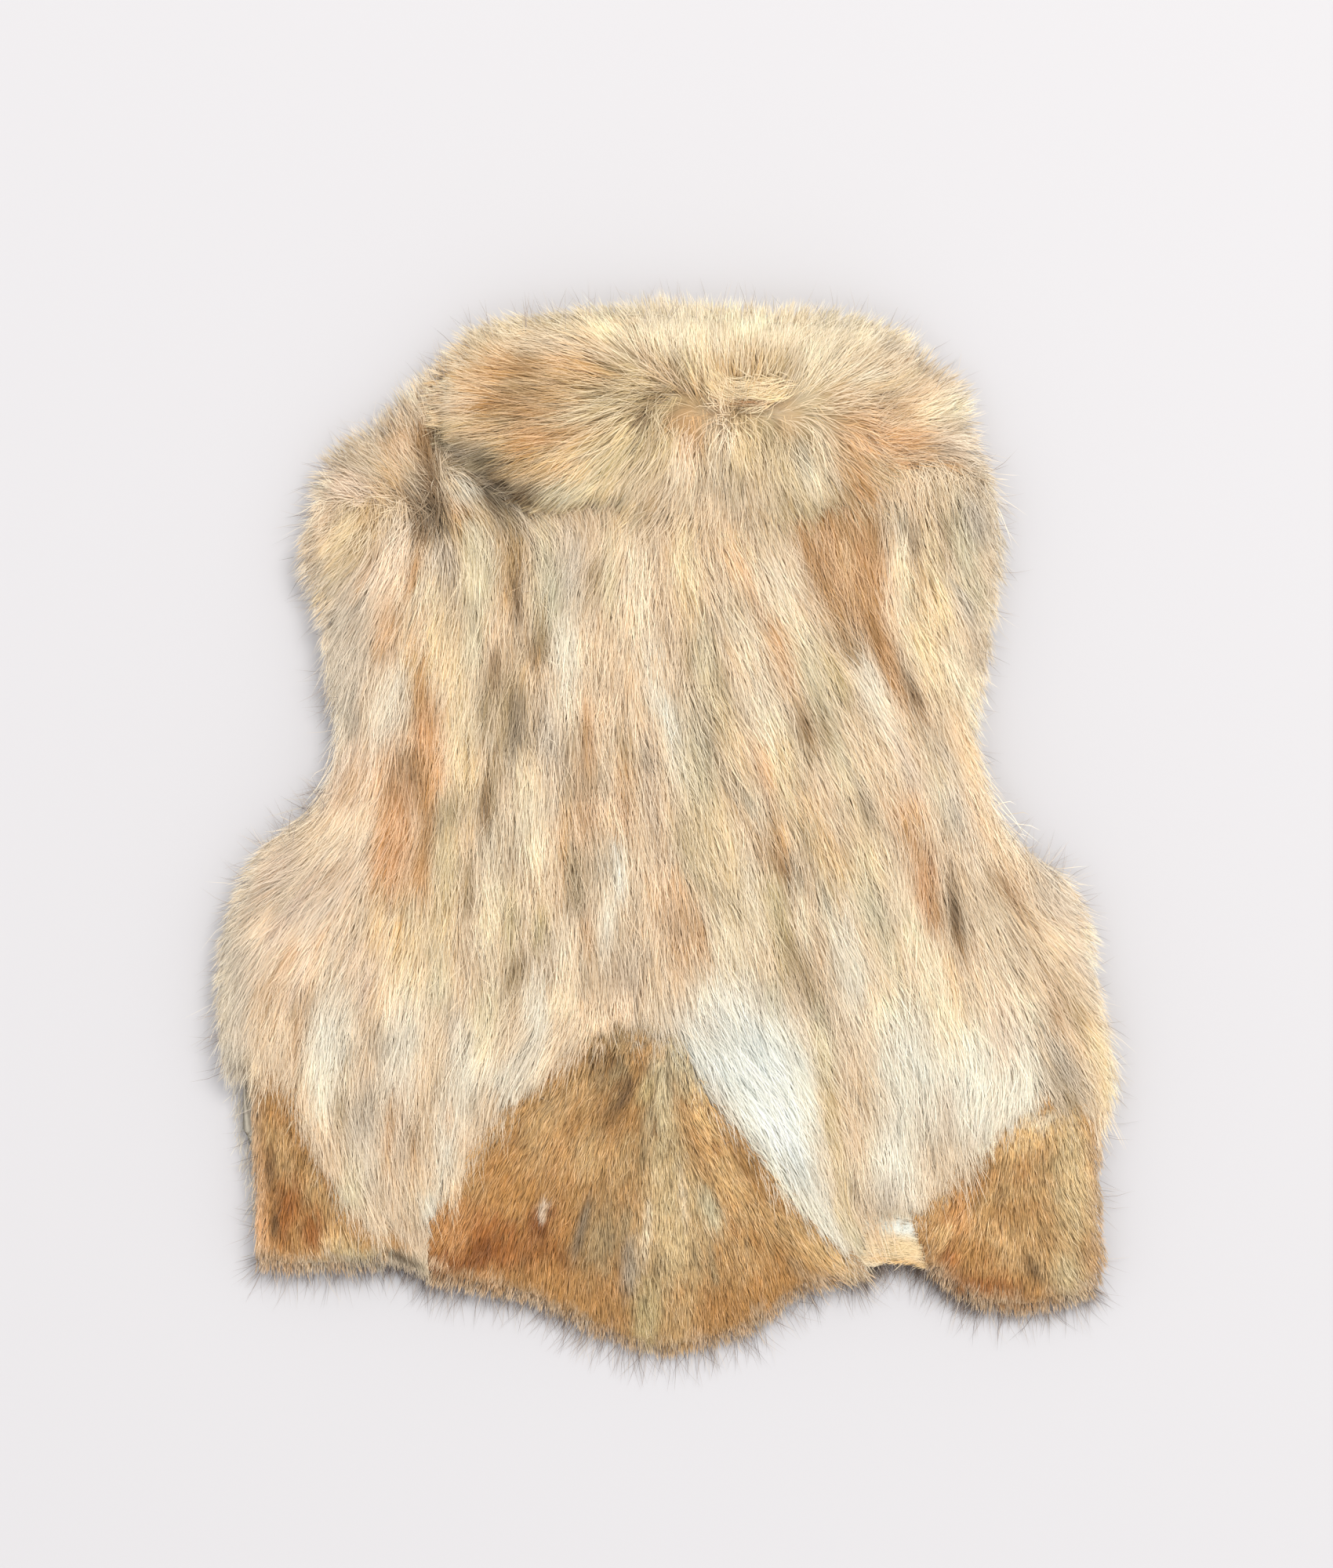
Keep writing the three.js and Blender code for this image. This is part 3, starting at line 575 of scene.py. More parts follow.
def skirt(coat, name, on_pelts, low_end, high_end, per_area, length, colours, inside=0.006):
    """Hair that stands out round a pelt's free edge, between two heights, and droops towards the table."""
    kind = coat.kind
    way_out = -np.stack(np.gradient(blur(on_pelts, 6))[::-1], -1)
    way_out /= np.linalg.norm(way_out, axis=-1, keepdims=True) + 1e-9
    cells = np.argwhere((coat.owner == coat.owners.index(name)) & (on_pelts < 0.9))
    count = int(len(cells) * CELL * (high_end - low_end) * SQUARE_CM * per_area)
    chosen = cells[rng.integers(0, len(cells), count)]
    x = GRID_X[chosen[:, 1]] + rng.uniform(-0.5, 0.5, count) * CELL
    y = GRID_Y[chosen[:, 0]] + rng.uniform(-0.5, 0.5, count) * CELL
    out = sample(way_out, x, y)
    way = sample(coat.flow, x, y)
    spread = rng.normal(0, 0.35, (count, 1))
    heading = way + (0.4 - np.minimum((way * out).sum(-1, keepdims=True), 0.4)) * out
    heading += spread * np.stack([-heading[:, 1], heading[:, 0]], -1)
    heading /= np.linalg.norm(heading, axis=-1, keepdims=True)
    t = np.linspace(0, 1, HAIR_STEPS + 1)
    length = length * rng.uniform(0.5, 1.1, count)
    start = np.stack([x, y], -1) - rng.uniform(inside, inside + 0.008, (count, 1)) * out
    own = start[:, None] + heading[:, None] * (length[:, None] * t)[..., None]
    level = np.minimum(rng.uniform(low_end, high_end, count), sample(coat.height, x, y) - 0.002)
    drop = length * rng.uniform(0.25, 0.6, count)
    z = np.maximum(level[:, None] - drop[:, None] * t ** 1.6, TABLE_GAP + 0.001 * rng.random(count)[:, None])
    centre = np.concatenate([own, z[..., None]], -1)
    side = lay_ribbons(centre, kind["width"] * rng.uniform(0.5, 0.9, count), rng.normal(0, 0.6, count))
    colour = sample(colours, x - 0.006 * out[:, 0], y - 0.006 * out[:, 1])[:, None].repeat(HAIR_STEPS + 1, 1)
    shade = 0.92 + rng.normal(0, kind["hair_tint"], count)
    tones = tone(colour, shade, rng.random(count) < 0.7, kind, t)
    join(ribbon_mesh(name + "_skirt", centre[:, PLAIN], side[:, PLAIN], tones[:, PLAIN], hair_material))


# Long fur: guard hair of about four centimetres over thick underfur, in locks of one to two centimetres.
# Lengths are in metres. Each size of lock has its spacing, pull, rise, stagger along the coat, and tint.
LONG = {"length": 0.042, "shortest": 0.012, "width": 0.00044, "sink": 0.012, "stray": 0.0010,
        "locks": [(0.022, 0.30, 0.0022, 0.005, 0.07), (0.008, 0.45, 0.0009, 0.003, 0.11)],
        "wander": 0.10, "bend": 0.22, "loose": 2.0, "roll": 0.3, "over_share": 0.4, "over_rise": 0.0012,
        "over_points": CURVED, "fringe": 0.0035, "thin_edge": 0.009, "wisps": 0.4, "wisp_length": 0.013,
        "overlap": 0.008, "ragged": 0.003, "cross": 0.011, "hair_tint": 0.07, "root_shade": 0.66,
        "dark_share": 0.06, "pale_tip": 0.36}

FRONT_PILE = {**LONG, "over_share": 0.5}
FRONT_ORDER = FRONTS + COLLAR_ENDS
front_colours = coat_colours("milk", [(-268, -60, 200, 60, 90, "ash")])
front_flow = hair_flow([(-200, 0, -100), (200, 0, -80), (-270, -150, -95), (270, -150, -85), (0, -250, -90)])
front_coat = Coat(FRONTS, front_owner, FRONT_ORDER, front_colours, front_flow, over_front, FRONT_PILE)
for name in FRONTS:
    lay_hide(name, front_colours, 0.002, 0.017)
    skirt(front_coat, name, on_front, 0.002, 0.011, 22, 0.012, front_colours, 0.002)

# The collar's ends. The collar runs on round the neck and down the chest, so its two ends lie face down under
# the back. They are cut from the same long fur as its falls, and sewn to the fronts' edges.
collar_end_colours = coat_colours("straw", [])
collar_end_flow = hair_flow([(-200, 200, 180), (200, 200, 0), (-90, 310, 130), (90, 310, 50), (0, 320, 90)])
collar_end_coat = Coat(COLLAR_ENDS, front_owner, FRONT_ORDER, collar_end_colours, collar_end_flow, over_front,
                       FRONT_PILE)
for name in COLLAR_ENDS:
    lay_hide(name, collar_end_colours, 0.002, 0.012)
    skirt(collar_end_coat, name, on_front, 0.002, 0.015, 52, 0.013, collar_end_colours, 0.001)

# The back. Three long-furred pelts, sewn side by side from the collar to the hem with seams that the fur
# hides, their hair combed down. Pale belly fur, sandy sides and dark tips meet in it in ragged streaks.
LONG_COAT = [  # x, y, along, across, lean, colour
    # left shoulder blade
    (-205, 150, 60, 26, 80, "beige"), (-190, 188, 16, 12, 60, "corn"), (-203, 165, 24, 10, 75, "corn"),
    (-170, 162, 26, 12, 75, "pink"), (-183, 165, 20, 3, 68, "fawn"), (-192, 118, 44, 14, 86, "ash"),
    (-172, 124, 22, 7, 86, "fawn"), (-200, 95, 40, 9, 90, "ash"), (-190, 72, 28, 3.5, 90, "smoke"),
    (-172, 70, 40, 11, 88, "milk"), (-155, 155, 18, 4, 75, "ochre"), (-136, 160, 20, 11, 80, "ash"),
    (-115, 155, 26, 12, 86, "hay"), (-150, 138, 14, 10, 80, "cream"), (-140, 112, 30, 10, 84, "corn"),
    (-130, 105, 14, 3, 80, "gold"), (-128, 75, 40, 10, 96, "corn"), (-118, 120, 26, 8, 90, "hay"),
    (-158, 105, 14, 5, 96, "gold"), (-150, 68, 34, 6, 94, "ochre"), (-148, 42, 22, 12, 90, "orange"),
    (-143, 42, 16, 6, 100, "tan"), (-122, 40, 24, 8, 92, "straw"), (-197, 30, 22, 16, 60, "blush"),
    # swirl under the collar's left end: dark roots in its whorl, and painted shade in the crease under the
    # collar
    (-122, 188, 16, 12, 0, "honey"), (-152, 195, 9, 6, 40, "bark"), (-150, 184, 10, 5, 20, "bark"),
    (-138, 190, 8, 7, 0, "shade"), (-146, 187, 5, 3, 40, "smoke"), (-140, 203, 8, 6, 0, "bark"),
    (-126, 197, 8, 4, 30, "orange"), (-120, 207, 10, 5, 20, "milk"), (-112, 228, 11, 6, 150, "shade"),
    (-100, 214, 20, 7, 165, "slate"), (-105, 222, 9, 5, 150, "bark"), (-90, 205, 9, 6, 160, "bark"),
    (-106, 200, 10, 4, 110, "bark"), (-96, 198, 12, 4, 110, "slate"), (-94, 184, 14, 4, 95, "drab"),
    (-118, 176, 14, 8, 90, "hay"),
    # left parting
    (-97, 160, 26, 6, 90, "honey"), (-92, 142, 20, 3.5, 94, "bark"), (-81, 103, 20, 4.5, 100, "brown"),
    (-105, 95, 10, 4.5, 80, "bark"), (-95, 70, 38, 12, 88, "drab"), (-92, 58, 20, 6, 88, "slate"),
    (-111, 76, 16, 5, 88, "drab"), (-108, 24, 20, 6, 86, "drab"), (-111, 12, 14, 3.5, 86, "brown"),
    # middle, above
    (-73, 150, 44, 10, 88, "hay"), (-58, 165, 24, 8, 86, "ash"), (-44, 158, 16, 4, 92, "drab"),
    (-34, 150, 30, 6, 92, "hay"), (-28, 188, 11, 4, 75, "gold"), (-13, 194, 9, 4, 80, "honey"),
    (-18, 142, 36, 11, 92, "blossom"), (-35, 112, 16, 9, 95, "sand"), (-62, 100, 30, 10, 94, "milk"),
    (12, 158, 34, 9, 94, "corn"), (44, 172, 30, 14, 108, "peach"), (52, 150, 26, 3, 112, "apricot"),
    (36, 150, 26, 4, 105, "sand"), (70, 140, 46, 14, 112, "blossom"), (46, 118, 30, 9, 110, "cream"),
    (74, 106, 22, 8, 110, "apricot"), (60, 75, 46, 13, 108, "blossom"), (15, 106, 14, 6, 92, "drab"),
    (26, 95, 30, 9, 98, "hay"), (-5, 90, 22, 8, 100, "milk"), (1, 66, 24, 7, 102, "ivory"),
    (8, 42, 20, 7, 100, "milk"), (-48, 56, 24, 4.5, 92, "ochre"), (-50, 15, 34, 9, 90, "fawn"),
    (-26, 44, 18, 5, 86, "honey"), (-24, 16, 18, 7, 90, "fawn"), (-62, -4, 22, 4, 88, "honey"),
    (-72, 50, 34, 9, 90, "ash"), (-85, 10, 36, 12, 92, "cream"), (-8, 20, 40, 7, 96, "beige"),
    (35, 70, 28, 9, 102, "corn"), (62, 34, 20, 6, 108, "apricot"), (76, 44, 20, 7, 104, "straw"),
    (88, 66, 14, 7, 98, "fawn"), (86, 60, 16, 3, 98, "brown"), (86, 48, 10, 5, 90, "drab"),
    (22, 30, 40, 12, 100, "hay"), (46, 6, 26, 2.5, 125, "honey"), (54, 14, 20, 6, 118, "cream"),
    (-76, 114, 18, 6, 90, "drab"), (-173, 113, 24, 8, 86, "fawn"), (-196, 22, 16, 9, 60, "fawn"),
    (-147, 180, 10, 7, 20, "bark"), (-160, -52, 18, 7, 88, "honey"), (-180, 194, 12, 8, 20, "honey"),
    # right shoulder blade
    (75, 20, 30, 8, 96, "corn"), (95, 95, 20, 10, 100, "hay"), (105, 60, 60, 12, 112, "hay"),
    (125, 45, 60, 14, 112, "sand"), (128, 84, 30, 9, 112, "milk"), (150, 40, 40, 8, 112, "pink"),
    (98, 62, 18, 4, 100, "drab"), (110, 120, 16, 7, 100, "drab"), (106, 92, 18, 6, 106, "olive"),
    (112, 165, 44, 22, 92, "ochre"), (98, 192, 22, 8, 0, "tan"), (80, 190, 18, 6, 112, "tan"),
    (92, 160, 32, 5, 114, "tan"), (75, 196, 10, 2.5, 110, "brown"), (127, 186, 10, 3, 105, "brown"),
    (124, 165, 34, 7, 92, "tan"), (110, 168, 20, 6, 96, "honey"), (129, 122, 24, 8, 112, "tan"),
    (137, 100, 24, 6, 114, "ochre"), (126, 130, 9, 4, 110, "brown"), (152, 84, 17, 3.5, 108, "bark"),
    (160, 60, 16, 4, 112, "fawn"), (146, 150, 46, 7, 94, "cream"), (154, 170, 18, 3.5, 95, "bark"),
    (165, 150, 40, 8, 98, "corn"), (172, 186, 14, 5, 105, "drab"), (185, 165, 30, 9, 100, "hay"),
    (184, 136, 17, 5, 108, "ash"), (192, 185, 14, 8, 100, "ash"), (162, 110, 40, 9, 104, "corn"),
    (180, 95, 26, 9, 100, "cream"), (184, 52, 24, 8, 108, "peach"), (165, 30, 30, 9, 104, "cream"),
    (178, 15, 26, 8, 104, "ash"), (123, 12, 15, 5, 98, "slate"), (148, 60, 24, 4, 112, "sand"),
    # left hip
    (-245, -28, 26, 12, 50, "blush"), (-262, -60, 50, 14, 80, "ash"), (-228, -60, 40, 18, 62, "pink"),
    (-232, -52, 28, 4, 60, "blush"), (-240, -95, 28, 7, 70, "fawn"), (-205, -40, 40, 14, 70, "pink"),
    (-207, -28, 12, 4, 66, "fawn"), (-196, -25, 14, 3, 88, "fawn"), (-214, -70, 8, 4, 70, "fawn"),
    (-206, -78, 10, 3, 90, "smoke"), (-228, -98, 16, 5, 66, "blush"), (-195, -85, 26, 8, 82, "beige"),
    (-166, 8, 44, 13, 92, "orange"), (-172, -26, 22, 12, 88, "orange"), (-147, 14, 34, 6, 92, "tan"),
    (-148, -11, 11, 4, 84, "brown"), (-152, -28, 20, 7, 86, "ochre"), (-162, -46, 9, 3, 84, "brown"),
    (-178, -58, 22, 5, 88, "gold"), (-158, -76, 34, 13, 88, "corn"), (-166, -78, 30, 3, 88, "gold"),
    (-134, -14, 36, 9, 88, "olive"), (-121, -30, 34, 3.5, 88, "drab"), (-108, -48, 44, 9, 86, "cream"),
    (-138, -62, 30, 9, 88, "straw"), (-94, -92, 18, 8, 80, "drab"), (-96, -55, 22, 6, 84, "olive"),
    (-114, -98, 12, 4, 84, "fawn"), (-62, -78, 22, 9, 88, "blossom"), (-48, -68, 16, 3.5, 94, "fawn"),
    (-57, -36, 16, 7, 90, "drab"), (-76, -58, 20, 6, 86, "olive"), (-28, -26, 15, 5, 94, "ivory"),
    (-36, -56, 24, 6, 86, "milk"), (-14, -60, 36, 9, 90, "sand"), (-22, -92, 22, 12, 88, "beige"),
    (-243, -120, 28, 20, 80, "sand"), (-264, -120, 40, 10, 86, "ash"), (-207, -128, 34, 14, 86, "milk"),
    (-224, -118, 20, 4, 84, "fawn"), (-186, -100, 14, 4, 84, "blush"), (-163, -118, 24, 14, 88, "blossom"),
    (-165, -150, 32, 12, 88, "milk"), (-140, -100, 18, 10, 84, "hay"), (-131, -128, 12, 6, 80, "smoke"),
    (-112, -118, 26, 10, 86, "hay"), (-80, -118, 26, 9, 88, "milk"), (-100, -152, 20, 12, 30, "milk"),
    (-125, -150, 32, 9, 88, "milk"), (-205, -155, 24, 12, 86, "milk"), (-199, -165, 18, 5, 84, "drab"),
    (-185, -185, 36, 10, 88, "ash"), (-165, -195, 36, 8, 86, "beige"), (-170, -190, 22, 3.5, 86, "fawn"),
    (-155, -200, 20, 3.5, 88, "fawn"), (-135, -190, 36, 7, 88, "milk"), (-134, -178, 11, 3, 88, "fawn"),
    (-160, -235, 26, 14, 88, "sand"), (-145, -240, 18, 5, 88, "milk"), (-195, -220, 20, 10, 80, "hay"),
    # middle, below
    (20, -14, 32, 14, 98, "straw"), (8, -62, 30, 11, 94, "fawn"), (22, -68, 16, 4, 98, "ochre"),
    (40, -34, 40, 12, 104, "corn"), (53, -42, 34, 6, 100, "cream"), (35, 0, 22, 8, 104, "corn"),
    (40, -78, 26, 13, 100, "cream"), (38, -100, 26, 12, 0, "milk"), (66, -104, 18, 6, 100, "hay"),
    (92, -4, 20, 8, 96, "gold"), (70, -4, 12, 6, 100, "honey"), (74, -27, 20, 7, 122, "brown"),
    (70, -60, 34, 8, 98, "olive"), (84, -52, 26, 4, 98, "cream"), (78, -80, 22, 5, 104, "drab"),
    (90, -100, 22, 4.5, 110, "drab"), (100, -45, 22, 6, 96, "hay"),
    # right hip
    (120, -20, 24, 14, 96, "corn"), (104, -22, 13, 10, 90, "gold"), (150, 8, 14, 11, 30, "apricot"),
    (150, -6, 9, 3, 96, "ochre"), (160, -36, 26, 8, 96, "orange"), (106, -54, 18, 3.5, 96, "honey"),
    (112, -80, 36, 12, 96, "milk"), (130, -60, 36, 10, 112, "hay"), (150, -60, 34, 8, 110, "cream"),
    (165, -90, 30, 9, 108, "cream"), (176, -47, 20, 4.5, 94, "bark"), (180, -68, 14, 4, 106, "brown"),
    (174, -88, 12, 3, 92, "gold"), (190, -70, 14, 2.5, 92, "apricot"), (187, -20, 30, 6, 96, "ash"),
    (200, -60, 42, 14, 104, "sand"), (208, -32, 20, 7, 122, "fawn"), (216, -46, 14, 3, 130, "brown"),
    (240, -40, 24, 14, 118, "pink"), (225, -72, 20, 8, 110, "sand"), (236, -104, 24, 6, 102, "fawn"),
    (259, -80, 40, 9, 108, "pink"), (252, -112, 18, 6, 112, "drab"), (210, -106, 30, 20, 100, "blossom"),
    (150, -110, 22, 20, 95, "cream"), (190, -125, 26, 20, 95, "blossom"), (150, -152, 42, 22, 100, "ivory"),
    (185, -165, 38, 24, 95, "ivory"), (215, -150, 32, 18, 95, "ivory"), (205, -125, 20, 12, 95, "pink"),
    (140, -205, 36, 16, 95, "ivory"), (137, -222, 13, 6, 100, "ash"), (172, -175, 20, 5, 90, "ash"),
    (238, -132, 12, 6, 100, "ash"), (246, -150, 16, 8, 100, "smoke"), (250, -170, 17, 5, 112, "drab"),
    (267, -150, 38, 8, 98, "corn"),
    # white flank beside the hem's point
    (45, -138, 44, 30, 0, "frost"), (62, -165, 46, 28, 118, "frost"), (78, -205, 40, 14, 118, "frost"),
    (22, -137, 18, 8, 118, "frost"), (98, -240, 26, 8, 125, "ivory"), (98, -140, 34, 6, 98, "hay"),
    (102, -180, 44, 6, 98, "straw"),
    (107, -225, 24, 6, 100, "straw"), (116, -250, 18, 5, 110, "hay"), (88, -160, 26, 3, 105, "ivory"),
]
LONG_FLOW = [  # x, y, heading
    (-209, 173, -140), (-202, 134, -125), (-168, 144, -112), (-110, 173, -100), (-139, 101, -96),
    (-192, 101, -102), (-204, 53, -100), (-101, 125, -92), (-43, 163, -104), (-43, 101, -94),
    (-10, 125, -88), (-72, 53, -90), (0, 53, -76), (34, 53, -68), (5, 197, -92),
    (48, 173, -66), (77, 134, -62), (96, 101, -62), (110, 178, -76), (144, 173, -86),
    (168, 173, -72), (192, 163, -62), (168, 101, -70), (139, 96, -64), (120, 53, -62),
    (72, 29, -68), (182, 48, -64), (24, -10, -76), (53, -43, -72), (77, -43, -80),
    (101, -67, -72), (125, -19, -66), (158, -10, -85), (163, -43, -80), (182, -58, -76),
    (202, -43, -60), (230, -58, -50), (252, -58, -40), (240, -106, -58), (262, -115, -50),
    (254, -154, -62), (269, -178, -78), (211, -115, -72), (168, -115, -74), (168, -187, -82),
    (202, -163, -98), (144, -211, -84), (120, -211, -84), (53, -163, -56), (72, -202, -58),
    (101, -240, -58), (24, -125, -62), (5, -91, -82), (-158, 29, -92), (-182, 5, -114),
    (-206, -10, -132), (-230, -10, -148), (-252, -29, -152), (-266, -77, -125), (-240, -67, -126),
    (-206, -67, -118), (-178, -67, -102), (-139, -43, -92), (-110, -67, -88), (-72, -67, -88),
    (-43, -43, -88), (-24, -91, -86), (-269, -134, -105), (-245, -130, -100), (-216, -115, -100),
    (-178, -139, -95), (-139, -163, -93), (-101, -139, -110), (-77, -130, -116), (-120, -187, -98),
    (-168, -211, -86), (-149, -245, -82), (-206, -187, -78), (-182, -230, -76), (-144, 178, -100),
    (-125, 178, -72), (-120, 197, -60), (-101, 221, -12), (-90, 202, -50),
]
long_colours = coat_colours("sand", LONG_COAT)
back_coat = Coat(BACK, back_owner, BACK_ORDER, long_colours, hair_flow(LONG_FLOW), over_back, LONG)
for name, per_area in [("back_left", 72), ("back_centre", 61), ("back_right", 72)]:
    lay_hide(name, long_colours, 0.007, 0.008)
    grow(back_coat, name, per_area)
    skirt(back_coat, name, on_back, 0.011, 0.026, 26, 0.018, long_colours)

# The hem. Three short-furred tan pelts along the bottom edge, a large point between two corners, set in under
# the back's long fur. Their hair is close and bristly, in fine streaks, and parts down the point's middle.
HEM_COAT = [  # x, y, along, across, lean, colour
    # point, left of its middle
    (-95, -195, 40, 22, 45, "honey"), (-100, -195, 26, 12, 50, "tan"), (-60, -165, 26, 12, 45, "honey"),
    (-115, -252, 38, 20, 0, "rust"), (-96, -222, 28, 15, 120, "ochre"), (-132, -240, 14, 14, 70, "orange"),
    (-78, -240, 10, 9, 60, "umber"), (-72, -262, 14, 9, 0, "umber"), (-112, -258, 9, 6, 0, "umber"),
    (-128, -266, 24, 4, 0, "umber"), (-50, -200, 24, 16, 60, "honey"), (-62, -222, 14, 9, 70, "tan"),
    (-38, -122, 20, 14, 0, "drab"), (-8, -122, 14, 8, 0, "drab"), (-33, -148, 17, 12, 70, "drab"),
    (-34, -142, 9, 5, 70, "brown"),
    (-30, -168, 12, 7, 60, "brown"), (-46, -142, 9, 4, 40, "bark"), (-24, -158, 8, 3.5, 60, "bark"),
    (-20, -184, 8, 4, 30, "brown"), (-56, -176, 11, 5, 60, "tan"), (-28, -206, 22, 9, 75, "honey"),
    (-52, -244, 16, 4, 75, "slate"), (-36, -256, 13, 4, 80, "slate"), (-25, -240, 12, 4, 80, "drab"),
    (-22, -268, 20, 7, 85, "smoke"), (-76, -232, 6, 3.5, 80, "pink"), (-40, -252, 26, 11, 80, "drab"),
    (-72, -274, 16, 12, 105, "ochre"), (-44, -284, 20, 10, 95, "tan"),
    # point, its middle
    (12, -148, 9, 22, 30, "hay"), (-4, -165, 32, 9, 92, "hay"), (0, -200, 36, 13, 92, "straw"),
    (5, -245, 44, 24, 90, "straw"), (12, -292, 26, 9, 88, "honey"), (32, -290, 22, 11, 80, "tan"),
    (-9, -160, 9, 2.5, 88, "brown"),
    (-7, -182, 9, 2.5, 95, "brown"), (-14, -200, 9, 2.5, 85, "drab"), (2, -196, 7, 2, 100, "drab"),
    (-12, -246, 20, 3, 85, "cream"), (10, -225, 18, 2, 95, "cream"), (-5, -272, 18, 3, 92, "drab"),
    (-12, -298, 22, 10, 90, "olive"),
    (16, -258, 14, 2.5, 100, "drab"), (4, -312, 12, 7, 90, "honey"),
    # point, right of its middle
    (24, -178, 28, 9, 118, "gold"), (40, -215, 32, 12, 112, "gold"), (62, -240, 30, 14, 120, "honey"),
    (32, -196, 8, 3, 120, "tan"), (48, -206, 22, 3, 125, "tan"), (70, -228, 18, 3, 125, "ochre"),
    (48, -262, 22, 12, 110, "honey"), (92, -256, 26, 9, 138, "gold"), (108, -268, 14, 7, 140, "gold"),
    (60, -284, 22, 9, 30, "ochre"), (36, -290, 14, 8, 20, "tan"), (55, -250, 9, 3, 110, "ochre"),
    (40, -240, 8, 3, 110, "tan"), (72, -266, 10, 4, 110, "ochre"), (28, -264, 14, 2.5, 100, "drab"),
    (88, -272, 14, 4, 150, "fawn"), (28, -234, 16, 7, 110, "hay"), (-13, -160, 10, 5, 60, "olive"),
    # left corner
    (-247, -175, 34, 14, 90, "tan"), (-254, -158, 12, 8, 90, "brown"), (-236, -200, 24, 8, 105, "honey"),
    (-243, -210, 18, 4, 90, "bark"), (-250, -240, 34, 10, 90, "orange"), (-232, -236, 24, 9, 90, "rust"),
    (-240, -238, 12, 3, 90, "bark"), (-225, -250, 14, 8, 100, "tan"), (-240, -264, 18, 8, 0, "ochre"),
    (-205, -250, 18, 14, 0, "gold"), (-214, -226, 18, 7, 110, "honey"), (-190, -262, 16, 9, 0, "straw"),
    # The slate strip along the left corner's lower edge is painted shadow under it, and the dark bark line
    # painted shade in the slit beside the gusset.
    (-180, -268, 30, 4, 0, "slate"), (-166, -259, 13, 2.5, 150, "bark"), (-215, -266, 12, 4, 0, "sand"),
    # right corner
    (210, -225, 52, 40, 0, "honey"), (225, -190, 30, 12, 10, "gold"), (250, -215, 48, 12, 92, "straw"),
    (190, -212, 24, 10, 60, "tan"), (178, -240, 20, 12, 70, "orange"), (205, -238, 22, 14, 0, "gold"),
    (218, -212, 8, 5, 80, "tan"), (205, -222, 6, 3, 80, "brown"), (226, -232, 8, 3, 80, "tan"),
    (192, -226, 5, 2.5, 80, "brown"), (190, -262, 24, 9, 160, "ochre"), (215, -262, 16, 9, 0, "honey"),
    (196, -280, 26, 5, 165, "rust"), (226, -272, 8, 4, 150, "bark"), (172, -262, 9, 6, 130, "rust"),
    (168, -250, 6, 9, 0, "gold"), (245, -272, 18, 12, 120, "straw"),
    (-217, -247, 12, 8, 90, "rust"), (207, -236, 20, 9, 10, "tan"), (230, -176, 16, 6, 10, "cream"),
]
HEM_FLOW = [  # x, y, heading
    (-53, -134, -102), (-72, -163, -118), (-101, -202, -118), (-120, -240, -112), (-139, -259, -110),
    (-110, -271, -104), (-72, -230, -108), (-72, -278, -96), (-34, -173, -116), (-7, -182, -92),
    (0, -240, -88), (14, -278, -84), (5, -310, -90), (24, -182, -60), (53, -221, -62),
    (82, -254, -54), (108, -269, -44), (24, -259, -76), (53, -278, -78), (72, -283, -80),
    (-245, -173, -95), (-240, -235, -96), (-216, -240, -86), (-192, -259, -76), (257, -182, -74),
    (216, -187, -94), (187, -211, -108), (168, -250, -116), (206, -259, -96), (250, -240, -62),
    (257, -269, -62), (216, -286, -90),
]
SHORT = {**LONG, "length": 0.016, "shortest": 0.006, "width": 0.0005, "sink": 0.008, "stray": 0.0006,
         "locks": [(0.012, 0.2, 0.0006, 0.003, 0.04), (0.004, 0.4, 0.0003, 0.002, 0.06)],
         "over_share": 0.12, "over_rise": 0.0005, "over_points": PLAIN, "fringe": 0.003, "thin_edge": 0.007,
         "overlap": 0.002, "ragged": 0.001, "cross": 0.006,
         "dark_share": 0.14, "hair_tint": 0.11, "pale_tip": 0.2}
hem_colours = coat_colours("tan", HEM_COAT, 0.38)
hem_coat = Coat(HEM, back_owner, BACK_ORDER, hem_colours, hair_flow(HEM_FLOW), over_back, SHORT)
for name in HEM:
    lay_hide(name, hem_colours, 0.004, 0.008)
    grow(hem_coat, name, 111)
    skirt(hem_coat, name, on_back, 0.010, 0.020, 20, 0.015, hem_colours)

# The gussets. Two small pieces let in between the hem's point and its corners, clipped so short that they
# look smooth. The right one ends in a rolled golden edge over a dark fringe, painted shadow under the edge.
GUSSET = {**SHORT, "length": 0.011, "shortest": 0.004, "sink": 0.002, "stray": 0.0002, "dark_share": 0.0,
          "locks": [(0.012, 0.2, 0.0002, 0.001, 0.01)], "hair_tint": 0.03, "overlap": 0.001, "cross": 0.0,
          "root_shade": 0.85, "thin_edge": 0.0, "fringe": 0.0008, "width": 0.00038, "roll": 0.1}
# The dark line on the left gusset is painted shade in the slit beside it, and the smoke below it painted
# shadow along its lower edge.
gusset_colours = coat_colours("cream", [(-155, -248, 22, 20, 0, "beige"), (-170, -250, 14, 5, 150, "tan"),
                                        (-163, -262, 18, 3, 150, "shade"), (-160, -272, 26, 5, 150, "smoke"),
                                        (140, -242, 24, 6, 172, "frost"), (142, -256, 24, 7, 175, "corn"),
                                        (144, -265, 24, 3, 172, "gold")], 0.0)
gusset_flow = hair_flow([(-155, -250, -84), (130, -250, 172), (150, -250, 176)])
gusset_coat = Coat(GUSSETS, back_owner, BACK_ORDER, gusset_colours, gusset_flow, over_back, GUSSET)
# The gussets' skirts are dark hairs that stand for painted shadow under their lower edges.
notch_painted_shadow_colours = coat_colours("shade", [], 0.0)
for name in GUSSETS:
    lay_hide(name, gusset_colours, 0.001, 0.001, 0.002)
    grow(gusset_coat, name, 200)
    skirt(gusset_coat, name, on_back, 0.003, 0.009, 90, 0.020, notch_painted_shadow_colours)

